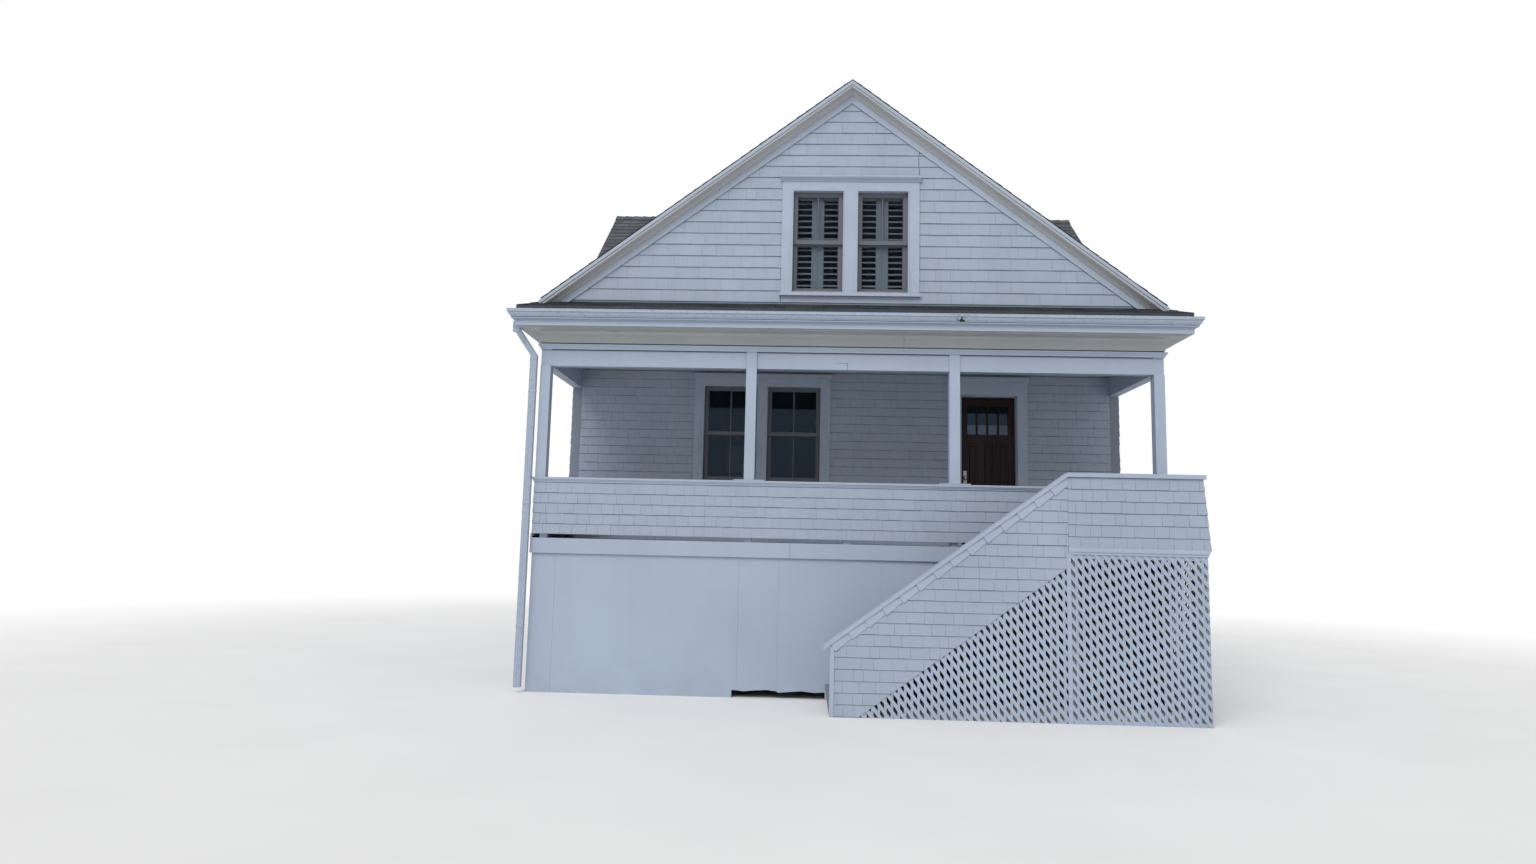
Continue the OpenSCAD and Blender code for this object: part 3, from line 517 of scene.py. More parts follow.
def courses(where, outline, holes=(), planes=(), kind="wall", seed=0):
    """Shingles over a rectangle on the surface `where`, left out at holes and cut by planes."""
    walls, roofs = bpy.context.scene.beach_shingles, bpy.context.scene.beach_roof
    height, width, butt, top, gap, uneven, stagger = {
        "wall": (walls.exposure, walls.width, walls.butt, 0.003, 0.0024, 0.55, 0.002),
        "gable": (walls.gable_exposure, walls.width * 1.3, walls.butt * 1.15, 0.003, 0.0015, 0.55,
                  0.001),
        "roof": (roofs.exposure, roofs.tab, roofs.butt, 0.002, 0.006, 0.4, 0.002),
    }[kind]
    x0, y0, x1, y1 = outline
    x0, x1 = sorted((x0, x1))
    breaks = {x0, x1}
    if kind != "roof":
        breaks |= {x for hole in holes for x in (hole[0], hole[2]) if x0 < x < x1}
    breaks = sorted(breaks)
    work = bmesh.new()
    for number, (left, right) in enumerate(zip(breaks, breaks[1:])):
        work.from_mesh(grow(
            TREES["courses"], outline_mesh(left, y0, right, y1, holes),
            seed=walls.seed + seed + 50 * number, course_height=height, shingle_width=width,
            butt_thickness=butt, top_thickness=top, joint_gap=gap, unevenness=uneven,
            stagger=stagger))
    made = written(work, bpy.data.meshes.new("courses"))
    made.transform(where)
    return cut(made, *planes)


# Finishes

OPEN = (None, None)
UPRIGHT, LEVEL = (1, 1, 0.1), (0.1, 1, 1)


class Finish(Nodes):
    """A material while its nodes are joined. Patterns are in metres on the frame's own axes."""

    def __init__(self, name):
        self.material = bpy.data.materials.new(name)
        self.material.use_nodes = True
        super().__init__(self.material.node_tree)
        self.shader = self.tree.nodes["Principled BSDF"]
        self.place = self.node("ShaderNodeTexCoord")["Object"]

    def noise(self, scale, detail=3.0, stretch=(1, 1, 1)):
        """Uneven spots of about 1/scale metres, drawn out by the stretch."""
        at = self.node("ShaderNodeMapping", {"Vector": self.place, "Scale": stretch})[0]
        return self.node("ShaderNodeTexNoise", {"Vector": at, "Scale": scale, "Detail": detail})[0]

    def spread(self, value, low, high, to_low=0.0, to_high=1.0):
        """Brings a value from low..high to another range, and holds it there."""
        return self.node("ShaderNodeMapRange", {
            "Value": value, "From Min": low, "From Max": high, "To Min": to_low,
            "To Max": to_high})[0]

    def mix(self, share, first, second):
        """One colour over another by a share."""
        return self.node("ShaderNodeMix", {0: share, 6: first, 7: second}, data_type="RGBA")[2]

    def shade(self, colour, value):
        """A colour made darker or lighter by a value around 1."""
        return self.node("ShaderNodeVectorMath", {0: colour, "Scale": value},
                         operation="SCALE")[0]

    def kept(self, name):
        """A value that the geometry carries."""
        return self.node("ShaderNodeAttribute", attribute_name=name,
                         attribute_type="GEOMETRY")["Fac"]

    def toned(self, colour, low, high):
        """A colour with the random tone of each repeated part."""
        return self.shade(colour, self.spread(self.kept("tone"), 0, 1, low, high))

    def shadow_line(self, colour, depth):
        """Darkens the top of what shows of each shingle, where shadow gathers below the next."""
        return self.shade(colour, self.spread(self.kept("reach"), 0.87, 0.955, 1.0, 1.0 - depth))

    def axes(self):
        """The x, y and z of the place."""
        return self.node("ShaderNodeSeparateXYZ", {0: self.place})

    def inside(self, x=OPEN, y=OPEN, z=OPEN):
        """1 between the limits on each axis and 0 outside them; None leaves a side open."""
        share = None
        for axis, limits in zip(self.axes(), (x, y, z)):
            for operation, limit in zip(("GREATER_THAN", "LESS_THAN"), limits):
                if limit is not None:
                    part = self.math(operation, axis, limit)
                    share = part if share is None else self.math("MULTIPLY", share, part)
        return share

    def set(self, **values):
        """Sets the shader's own sockets."""
        for name, value in values.items():
            self.put(self.shader.inputs[name.replace("_", " ")], value)

    def done(self, colour, rough, height, depth, strength, metal=0.0):
        """Joins colour, roughness and bump to the shader."""
        bump = self.node("ShaderNodeBump", {
            "Height": height, "Distance": depth, "Strength": strength})
        self.set(Base_Color=colour, Roughness=rough, Metallic=metal, Normal=bump[0])
        return self.material


def solid(colour, factor=1.0):
    """A colour value with its alpha."""
    return scaled(colour, factor) + (1.0,)


def scaled(colour, factor):
    """A colour value made darker or lighter."""
    return tuple(c * factor for c in colour)


def zone(**limits):
    """Where a finish changes: between limits on the axes."""
    return lambda paint: paint.inside(**limits)


def upper_skin(axis, middle, top, fall):
    """Where a finish changes: the upper skin of two slopes that fall from a ridge."""
    def share(paint):
        away = paint.math("ABSOLUTE", paint.math("SUBTRACT", paint.axes()[axis], middle))
        level = paint.math("ADD", paint.axes()[2], paint.math("MULTIPLY", away, fall))
        return paint.math("GREATER_THAN", level, top - 0.012)
    return share


def painted_shade_below_stair(paint):
    """Where a finish changes: painted shade on the front base below the flight and the landing,
    behind the lattice.
    """
    x, _, z = paint.axes()
    away = paint.math("SUBTRACT", x, FOOT_X)
    line = paint.math("MULTIPLY", away, DECK_Z / (LANDING_X - FOOT_X))
    under = paint.math("LESS_THAN", z, paint.math("SUBTRACT", line, 0.1))
    front = paint.inside((None, HALF_W - 0.005), (None, 0.1), (None, LATTICE_TOP))
    return paint.math("MULTIPLY", under, front)


def torn_lip(paint):
    """Where the front gutter is torn: a spot below its lip and a crack along it, painted dark as
    the shade inside them.
    """
    spot = paint.inside((1.245, 1.34), (-0.4, -0.3), (4.398, 4.482))
    crack = paint.inside((1.14, 1.5), (-0.4, -0.3), (4.4925, 4.498))
    return paint.math("MAXIMUM", spot, crack)


def painted_wood(name, colour, grain=UPRIGHT, wear=0.25, soil=0.1, toned=0.0, coursed=0.0,
                 zones=()):
    """Weathered paint over wood: grain, brush marks, soft grime, flaked spots and other zones."""
    paint = Finish(name)
    cloudy = paint.spread(paint.noise(0.9, 4.0), 0.3, 0.7, 0.94, 1.05)
    streaks = paint.noise(9.0, 4.0, (1, 1, 0.12))
    grime = paint.spread(streaks, 0.55, 0.8, 0.0, soil)
    chips = paint.spread(paint.noise(42.0, 6.0, (1, 1, 0.45)), 0.71, 0.75, 0.0, wear)
    base = paint.shade(solid(colour), cloudy)
    if toned:
        base = paint.toned(base, 1 - toned, 1 + toned * 0.6)
    foot = paint.spread(paint.axes()[2], 0.0, 0.4, 0.16, 0.0)
    ground = paint.math("MULTIPLY", foot, paint.spread(paint.noise(5.0, 4.0), 0.35, 0.65))
    for share, other in ((grime, (0.31, 0.30, 0.27)), (ground, (0.21, 0.20, 0.18)),
                         (chips, (0.33, 0.30, 0.27))):
        base = paint.mix(share, base, solid(other))
    if coursed:
        base = paint.shadow_line(base, coursed)
    for share, other in zones:
        base = paint.mix(share(paint), base, solid(other))
    rough = paint.spread(streaks, 0.3, 0.7, 0.52, 0.72)
    height = paint.math("ADD", paint.noise(140.0, 3.0, grain), paint.math("MULTIPLY", chips, -0.8))
    return paint.done(base, rough, height, 0.0015, 0.5)


def granules(name, colour, other, toned):
    """Mineral roof shingles: fine speckle, a tone for each tab and lighter worn spots."""
    roof = Finish(name)
    speck = roof.noise(320.0, 2.0)
    patch = roof.spread(roof.noise(1.3, 4.0), 0.35, 0.7)
    base = roof.mix(patch, solid(colour), solid(colour, other))
    base = roof.toned(base, 1 - toned, 1 + toned)
    base = roof.shade(base, roof.spread(speck, 0.35, 0.65, 0.72, 1.3))
    worn = roof.spread(roof.noise(14.0, 5.0), 0.62, 0.72, 0.0, 0.25)
    base = roof.mix(worn, base, solid((0.13, 0.13, 0.125)))
    roof.set(Specular_IOR_Level=0.0)
    rough = roof.spread(speck, 0.3, 0.7, 0.82, 0.98)
    return roof.done(roof.shadow_line(base, 0.6), rough, speck, 0.0015, 0.8)


def metal(name, colour, rough, share=1.0, stain=(0.12, 0.07, 0.045), torn=None):
    """Metal with brush marks and small stains, and ragged holes in one zone painted nearly black as
    shade.
    """
    made = Finish(name)
    marks = made.noise(260.0, 2.0, (1, 1, 0.08))
    spots = made.spread(made.noise(28.0, 5.0), 0.56, 0.68, 0.0, 0.7)
    brushed = made.shade(solid(colour), made.spread(marks, 0.3, 0.7, 0.88, 1.08))
    base = made.mix(spots, brushed, solid(stain))
    if torn:
        # Painted shade: the torn holes are only dark colour, not cut in the mesh.
        ragged = made.spread(made.noise(24.0, 5.0), 0.5, 0.53)
        holes = made.math("MULTIPLY", torn(made), ragged)
        base = made.mix(holes, base, solid((0.02, 0.02, 0.022)))
    dull = made.spread(marks, 0.3, 0.7, rough - 0.08, rough + 0.12)
    return made.done(base, dull, marks, 0.0004, 0.35, share)


def stained_wood(name, colour):
    """Dark varnished wood with an upright grain."""
    wood = Finish(name)
    grain = wood.noise(60.0, 6.0, (1, 1, 0.05))
    broad = wood.noise(7.0, 3.0, (1, 1, 0.2))
    base = wood.mix(wood.spread(grain, 0.35, 0.65), solid(colour, 0.6), solid(colour, 1.7))
    base = wood.shade(base, wood.spread(broad, 0.3, 0.7, 0.75, 1.25))
    wood.set(Specular_IOR_Level=0.18)
    return wood.done(base, wood.spread(broad, 0.3, 0.7, 0.3, 0.5), grain, 0.0006, 0.4)


def window_paint(name, casing, sash, *behind):
    """White casings around sashes of another colour, parted by the depth behind the casings."""
    paint = Finish(name)
    cloudy = paint.spread(paint.noise(2.5, 4.0), 0.3, 0.7, 0.93, 1.05)
    grime = paint.spread(paint.noise(12.0, 4.0, (1, 1, 0.15)), 0.54, 0.78, 0.0, 0.25)
    chips = paint.spread(paint.noise(55.0, 6.0, (1, 1, 0.4)), 0.68, 0.72, 0.0, 0.55)
    base = paint.shade(paint.mix(paint.inside(*behind), solid(casing), solid(sash)), cloudy)
    base = paint.mix(grime, base, solid((0.17, 0.17, 0.175)))
    base = paint.mix(chips, base, solid((0.23, 0.23, 0.235)))
    rough = paint.spread(cloudy, 0.93, 1.05, 0.45, 0.65)
    return paint.done(base, rough, paint.noise(170.0, 3.0, (1, 1, 0.15)), 0.001, 0.45)


def pane_glass(name, cover, clear=None, pale=None):
    """Window glass over dark rooms: a thin dark coat, painted shade of the rooms, clear in one zone
    and pale in another as a painted reflection.
    """
    glass = Finish(name)
    # Nearly black: painted shade of the unlit rooms behind the glass.
    painted_light = solid((0.008, 0.010, 0.013))
    # Blue-grey below a height: a painted reflection of the bright outdoors.
    if pale:
        painted_light = glass.mix(pale(glass), painted_light, solid((0.13, 0.15, 0.20)))
    if clear:
        cover = glass.spread(clear(glass), 0.0, 1.0, cover, 0.12)
    glass.set(Alpha=cover, IOR=1.45, Specular_Tint=(0.45, 0.7, 1.0, 1.0))
    cloudy = glass.spread(glass.noise(2.2, 4.0), 0.35, 0.7, 0.8, 1.15)
    dust = glass.spread(glass.noise(3.0, 5.0), 0.4, 0.75, 0.02, 0.08)
    return glass.done(glass.shade(painted_light, cloudy), dust, glass.noise(6.0, 2.0), 0.0004, 0.1)


def make_finishes():
    """Every material of the house by a plain name."""
    colours = bpy.context.scene.beach_colours
    white, sash, boards = tuple(colours.white), tuple(colours.sash), tuple(colours.boards)
    # shade is the white paint at 0.6: painted shade for the wall boards that show in the joints
    # between the shingles.
    # soffit is a greyer, warmer copy of the white paint: painted warm bounce light on the shaded
    # undersides of the eaves.
    trim, shade, soffit = scaled(white, 1.12), scaled(white, 0.6), (0.405, 0.42, 0.43)
    indoors, felt = (0.24, 0.235, 0.225), (0.03, 0.035, 0.042)
    deep = (0.02, DEPTH - 0.02)
    room = zone(x=(-HALF_W + 0.01, HALF_W - 0.01), y=(PORCH_Y + 0.02, deep[1]), z=(0.2, None))
    attic = zone(x=(-HALF_W + 0.3, HALF_W - 0.3), y=deep, z=(ATTIC_Z - 0.001, None))
    reach, gutter_z = EAVE_OVER - 0.003, GUTTER_TOP_Z - 0.009
    front, back = (None, -reach), (DEPTH + reach, None)
    tip = (EAVE_Z - EAVE_DROP - 0.008, None)
    ends = [(zone(y=front), trim), (zone(y=back), trim)]
    edges = ends + [
        (zone(x=(None, -HALF_W - reach)), trim), (zone(x=(HALF_W + reach, None)), trim),
        (zone(y=front, z=(gutter_z, None)), felt), (zone(y=back, z=tip), felt)]
    tops = [(zone(y=(None, 1.0), z=(gutter_z, None)), felt), (zone(y=(1.0, None), z=tip), felt)]
    slopes = upper_skin(0, 0.0, RIDGE_Z, TAN)
    caps = upper_skin(1, DORMER_Y, DORMER_Z, DORMER_TAN)
    sheltered = {"grain": LEVEL, "wear": 0.1, "soil": 0.05}

    def sides(face):
        """Limits of what lies behind the casings of walls at -face, face and the back."""
        return (-face + SASH_BACK, face - SASH_BACK), (None, DEPTH - SASH_BACK)

    return {
        "trim": painted_wood("White trim paint", trim),
        # The front base under the stair is painted nearly black as shade.
        "base": painted_wood("Base panel paint", trim, wear=0.15, soil=0.03,
                             zones=[(painted_shade_below_stair, (0.035, 0.038, 0.045))]),
        "siding": painted_wood("White wall shingles", white, (1.2, 1.2, 0.08), wear=0.3,
                               toned=0.025, coursed=0.55),
        "sheathing": painted_wood("Wall boards and plaster", shade, zones=[(room, indoors)]),
        "gable_boards": painted_wood("Gable boards and plaster", shade, zones=[(attic, indoors)]),
        # The porch ceiling's greyer tint is painted bounce light on its shaded underside, like the
        # soffit.
        "ceiling": painted_wood("Porch ceiling paint", (0.40, 0.43, 0.46), LEVEL, toned=0.05),
        "soffit": painted_wood("Soffit paint", soffit, **sheltered),
        "eaves": painted_wood("Eaves and roof deck", soffit, **sheltered,
                              zones=edges + [(slopes, felt)]),
        "pents": painted_wood("Gable foot roof deck", soffit, **sheltered, zones=ends + tops),
        "dormer_deck": painted_wood("Dormer roof deck", trim, LEVEL, zones=[(caps, felt)]),
        "strip": painted_wood("Weathered edge boards", scaled(white, 1.15), LEVEL, wear=0.3,
                              soil=0.2),
        # Dark strips for open joints, and for painted shadow lines around the beam moulding.
        "joint": painted_wood("Open joints", (0.07, 0.08, 0.09), LEVEL),
        "boards": painted_wood("Porch floor paint", boards, (1, 0.1, 1), wear=0.8, soil=0.25,
                               toned=0.12),
        "planks": stained_wood("Indoor floor planks", (0.16, 0.10, 0.06)),
        "roof": granules("Roof granules", colours.roof, 1.35, 0.22),
        "dormer": granules("Weathered dormer shingles", colours.dormer, 0.8, 0.14),
        "gutter": metal("Gutter enamel", trim, 0.45, 0.0, scaled(white, 0.75), torn_lip),
        "hinge": metal("Hinge steel", (0.30, 0.28, 0.25), 0.45),
        "handle": metal("Handle steel", (0.26, 0.25, 0.24), 0.3, stain=(0.12, 0.10, 0.08)),
        "door": stained_wood("Door stain", colours.door),
        "shutter": painted_wood("Shutter paint", colours.shutter, (1, 1, 0.15), wear=0.6,
                                toned=0.1),
        "sash": painted_wood("Sash paint", sash, (1, 1, 0.2), wear=0.6),
        "porch_window": window_paint("Porch window paint", trim, sash, OPEN,
                                     (PORCH_Y + SASH_BACK, None)),
        "gable_window": window_paint("Gable window paint", trim, sash, OPEN, (SASH_BACK, None)),
        "side_window": window_paint("Side window paint", trim, sash, *sides(HALF_W)),
        "attic_window": window_paint("Attic window paint", trim, sash, *sides(DORMER_FACE)),
        # Covers most of the view with painted shade of the rooms, less in the front gable.
        "glass": pane_glass("Window glass", 0.72, clear=zone(y=(None, 0.2), z=(ATTIC_Z, None))),
        # The lower part of the door lights gets the painted reflection.
        "door_glass": pane_glass("Door glass", 0.92, pale=zone(z=(None, 3.478))),
    }


FINISH = {}
TREES = {}

# The finish of every CAD node.
NODE_FINISH = {node: finish for finish, nodes in {
    "base": "base_front base_sides base_back",
    "boards": "porch_floor stair_flight landing_deck",
    "planks": "main_floor",
    "soffit": "attic_floor",
    "sheathing": "front_wall_left front_wall_right front_wall_over_door left_wall right_wall"
                 " back_wall",
    "gable_boards": "front_gable back_gable",
    "eaves": "roof_left roof_right",
    "pents": "pent_front pent_back",
    "dormer_deck": "dormer_roofs",
    "gutter": "gutters downspout",
    "trim": "skirt_board dormer_wall_left dormer_wall_right rake_boards porch_beams porch_posts"
            " porch_parapet porch_caps door_frame stair_wall landing_wall stair_caps"
            " lattice_stair lattice_landing lattice_side",
    "hinge": "frame_hinges",
    "handle": "door_hardware",
    "door": "front_door",
    "door_glass": "door_glass",
    "glass": "window_glass",
    "shutter": "gable_shutters",
    "porch_window": "porch_windows",
    "gable_window": "gable_windows",
    "side_window": "side_windows",
    "attic_window": "attic_windows",
}.items() for node in nodes.split()}


def slope_out(side):
    """Outward direction of a main slope."""
    return Vector((side * math.sin(PITCH), 0, math.cos(PITCH)))


def above_slope(side):
    """The cut that keeps what stands above a main slope."""
    return (0, 0, RIDGE_Z), -slope_out(side)


def cap_z(x):
    """Height of the stair cap's top at x."""
    return LANDING_TOP_Z + (x - LANDING_X) * CAP_SLOPE


def window_hole(along):
    """The part of a wall behind the casings of one side or back window."""
    half = SASH_W / 2 + CASING_W - 0.01
    return (along - half, SASH_Z - SILL_T + LAP_LOW, along + half, CROWN_Z - LAP_TOP)


def casing_hole(low, high):
    """The part of a wall behind casings with these corners."""
    return (low.x + LAP_SIDE, low.z + LAP_LOW, high.x - LAP_SIDE, high.z - LAP_TOP)


class PaintFrame(bpy.types.Operator):
    """Give every CAD node its finish"""

    bl_idname = "beach_house.paint_frame"
    bl_label = "Paint the frame"

    def execute(self, context):
        FINISH.update(make_finishes())
        TREES.update(courses=course_tree(), row=row_tree())
        for name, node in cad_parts.items():
            node.data.materials.clear()
            node.data.materials.append(FINISH[NODE_FINISH[name]])
        return {"FINISHED"}


class ShingleWalls(bpy.types.Operator):
    """Lay the wall shingles in courses over gables, walls, parapet and stair"""

    bl_idname = "beach_house.shingle_walls"
    bl_label = "Shingle the walls"

    def execute(self, context):
        rakes = [((0, 0, RIDGE_Z - RAKE_LOW), slope_out(side)) for side in (1, -1)]
        for name, where in (("gable_shingles_front", wall(0, 0, RIGHT)),
                            ("gable_shingles_back", wall(0, DEPTH, LEFT))):
            piece(name, "siding", courses(
                where, (-HALF_W, EAVE_Z + 0.022, HALF_W, RIDGE_Z - 0.2),
                [casing_hole(*GABLE_WINDOWS)], rakes, "gable", seed=1))

        inner_x, cap_under, top = HALF_W - POST_W, CAP_Z - 0.002, LANDING_TOP_Z - RAIL_CAP_T
        door_low, door_high = DOOR
        piece("porch_wall_shingles", "siding", courses(
            wall(0, PORCH_Y, RIGHT), (-inner_x, DECK_Z + 0.004, inner_x, CEIL_Z - 0.012),
            [casing_hole(*PORCH_WINDOWS), (door_low.x + LAP_SIDE, DECK_Z - 1,
                                           door_high.x - LAP_SIDE, door_high.z - LAP_TOP)],
            seed=2))

        low = DECK_Z + 0.02
        walls = [courses(wall(side * HALF_W, 0, BACK * side),
                         (side * PORCH_Y, low, side * DEPTH, CEIL_Z),
                         [window_hole(side * y) for y in SIDE_WINDOWS], seed=3 + side)
                 for side in SIDES]
        walls.append(courses(wall(0, DEPTH, LEFT), (-HALF_W, low, HALF_W, CEIL_Z),
                             [window_hole(x) for x in BACK_WINDOWS], seed=6))
        piece("side_and_back_shingles", "siding", *walls)

        piece("parapet_shingles", "siding",
              courses(wall(0, 0, RIGHT), (-HALF_W, SLOT_Z, LANDING_X + 0.08, cap_under), seed=7),
              courses(wall(-HALF_W, 0, FRONT), (-PORCH_Y, SLOT_Z, 0, cap_under), seed=8),
              courses(wall(HALF_W, 0, BACK), (0, DECK_Z + 0.004, PORCH_Y, cap_under), seed=9))

        front = wall(0, STAIR_Y, RIGHT)
        piece("stair_wall_shingles", "siding", courses(
            front, (FOOT_X, 0.01, LANDING_X, top), (),
            [((LANDING_X, 0, top - 0.1), CAP_OUT),
             ((LANDING_X, 0, LANDING_TOP_Z - RAIL_BAND), -CAP_OUT)], seed=10))

        lean = Vector((-FLARE, 0, top - DECK_Z)).normalized()
        out = -FRONT.cross(lean)
        foot = Vector((HALF_W + FLARE / 2, 0, DECK_Z))
        piece("landing_wall_shingles", "siding",
              courses(front, (LANDING_X, DECK_Z + 0.01, foot.x, top), (),
                      [(foot + out * 0.004, out)], seed=11),
              courses(plane(foot, BACK, lean),
                      (STAIR_Y - 0.008, 0.01, -0.032, (top - DECK_Z) / lean.z), seed=12))
        return {"FINISHED"}


class ShingleDormers(bpy.types.Operator):
    """Lay the wall shingles on the faces and cheeks of the dormers"""

    bl_idname = "beach_house.shingle_dormers"
    bl_label = "Shingle the dormers"

    def execute(self, context):
        skins = []
        half = GABLE_SASH_W + GABLE_MULL / 2 + CASING_W - 0.01
        hole = (-half, DORMER_SASH_Z - SILL_T + LAP_LOW, half, DORMER_CROWN_Z - 0.06)
        low, top = EAVE_Z + (HALF_W - DORMER_FACE) * TAN, DORMER_Z - DORMER_T
        slopes = [((0, DORMER_Y, top), (0, s * math.sin(DORMER_PITCH), math.cos(DORMER_PITCH)))
                  for s in SIDES]
        for side in SIDES:
            skins.append(courses(
                wall(side * DORMER_FACE, DORMER_Y, BACK * side),
                (-DORMER_HALF, low, DORMER_HALF, top - 0.02), [hole], slopes, seed=20 + side))
            for cheek in SIDES:
                turned = -cheek * side
                skins.append(courses(
                    wall(0, DORMER_Y + cheek * DORMER_HALF, LEFT * cheek),
                    (turned * 2.6, low, turned * DORMER_FACE, top - DORMER_HALF * DORMER_TAN), (),
                    [above_slope(side)], seed=24 + side + cheek))
        piece("dormer_shingles", "siding", *skins)
        return {"FINISHED"}


class ShingleRoof(bpy.types.Operator):
    """Lay the roof shingles on the main slopes, eaves, dormers and the roofs across the gables"""

    bl_idname = "beach_house.shingle_roof"
    bl_label = "Shingle the roof"

    def execute(self, context):
        slope, eave = HALF_W / math.cos(PITCH), math.hypot(EAVE_OVER, EAVE_DROP)
        rise, level = math.sin(FLARE_ANGLE), math.cos(FLARE_ANGLE)
        tip_z, reach = EAVE_Z - EAVE_DROP, RAKE_OVER + 0.034
        for side, name in ((1, "right"), (-1, "left")):
            along, up = BACK * side, (-side * math.cos(PITCH), 0, math.sin(PITCH))
            main = courses(
                plane((side * HALF_W, 0, EAVE_Z), along, up),
                (-side * reach, 0.0, side * (DEPTH + reach), slope), dormer_hole(side),
                kind="roof", seed=30 + side)
            tip = (side * (HALF_W + EAVE_OVER - 0.002), 0, tip_z)
            mitres = [((side * HALF_W, y, 0), Vector((-side, out, 0)).normalized())
                      for y, out in ((0, -1), (DEPTH, 1))]
            low = courses(
                plane(tip, along, (-side * level, 0, rise)),
                (-side * EAVE_OVER, 0.0, side * (DEPTH + EAVE_OVER), eave), (), mitres,
                "roof", 33 + side)
            piece("roof_tabs_" + name, "roof", *lowered(main, low))

        for name, y, out in (("front", 0.0, -1), ("back", DEPTH, 1)):
            tip = (0, y + out * (EAVE_OVER - 0.004), tip_z)
            mitres = [((s * HALF_W, y, 0), Vector((s, -out, 0)).normalized()) for s in SIDES]
            piece("pent_tabs_" + name, "roof", courses(
                plane(tip, LEFT * out, (0, -out * level, rise)),
                (-HALF_W - EAVE_OVER, 0.0, HALF_W + EAVE_OVER, eave), (), mitres,
                "roof", 36 + out))

        edge, skins = DORMER_HALF + DORMER_OVER, []
        for side in SIDES:
            for face in SIDES:
                up = (0, -face * math.cos(DORMER_PITCH), math.sin(DORMER_PITCH))
                foot = (0, DORMER_Y + face * edge, DORMER_Z - edge * DORMER_TAN)
                turned = -face * side
                skins.append(courses(
                    plane(foot, LEFT * face, up),
                    (turned * 0.6, 0.0, turned * DORMER_END, edge / math.cos(DORMER_PITCH)), (),
                    [above_slope(side)], "roof", 40 + side + 3 * face))
        piece("dormer_tabs", "dormer", *lowered(*skins))
        return {"FINISHED"}


def dormer_hole(side):
    """The part of a main slope inside a dormer, as thin rectangles along and up the slope."""
    holes, steps = [], 24
    slope = HALF_W / math.cos(PITCH)
    for i in range(steps):
        x0, x1 = (DORMER_FACE * (1 - n / steps) for n in (i, i + 1))
        half = ((x0 + x1) / 2 * TAN - (RIDGE_Z - DORMER_Z)) / DORMER_TAN
        half = min(DORMER_HALF, half) - 0.1
        if half > 0:
            holes.append((side * DORMER_Y - half, slope - x0 / math.cos(PITCH),
                          side * DORMER_Y + half, slope - x1 / math.cos(PITCH)))
    return holes


def lowered(*meshes):
    """Presses meshes down to the frame's highest line."""
    for mesh in meshes:
        for corner in mesh.vertices:
            corner.co.z = min(corner.co.z, CAD_BOX[1].z)
    return meshes


class CapRidges(bpy.types.Operator):
    """Bend shingle caps over the main ridge and the dormer ridges"""

    bl_idname = "beach_house.cap_ridges"
    bl_label = "Cap the ridges"

    def execute(self, context):
        roofs = context.scene.beach_roof

        def caps(pitch, count, where):
            """A run of caps along a ridge."""
            leg, across, fall = 0.13, math.cos(pitch), math.sin(pitch)
            rings = []
            for along, lift in ((0.0, roofs.butt * 2.2), (roofs.exposure * 1.25, roofs.butt)):
                foot = (leg * across, -leg * fall)
                upper = (foot[0] + lift * fall, foot[1] + lift * across)
                rings.append([(x, along, z) for x, z in (
                    (-foot[0], foot[1]), (-upper[0], upper[1]), (0, lift / across), upper, foot,
                    (0, 0))])
            made = row(Shape().rings(rings), count, (0, roofs.exposure, 0),
                       shift=(0.002, 0.002, 0), seed=9)
            made.transform(where)
            return made

        main = caps(PITCH, int((DEPTH + 2 * RAKE_OVER) / roofs.exposure),
                    Matrix.Translation((0, -RAKE_OVER, RIDGE_Z)))
        piece("ridge_caps", "roof", *lowered(main))
        count = int((DORMER_END - 0.66) / roofs.exposure) - 1
        turned = [Matrix.Translation((side * DORMER_END, DORMER_Y, DORMER_Z))
                  @ Matrix.Rotation(math.radians(90 * side), 4, "Z") for side in SIDES]
        piece("dormer_ridge_caps", "dormer", *[
            cut(caps(DORMER_PITCH, count, where), above_slope(side))
            for side, where in zip(SIDES, turned)])
        return {"FINISHED"}


def around(profile, edge, front, back, z=0.0):
    """A skin of (distance, height) points swept round the left, front and right of the house."""
    return Shape().rings([
        [(side * (edge + d), front - d if y == front else y, z + h) for d, h in profile]
        for side, y in ((-1, back), (-1, front), (1, front), (1, back))])


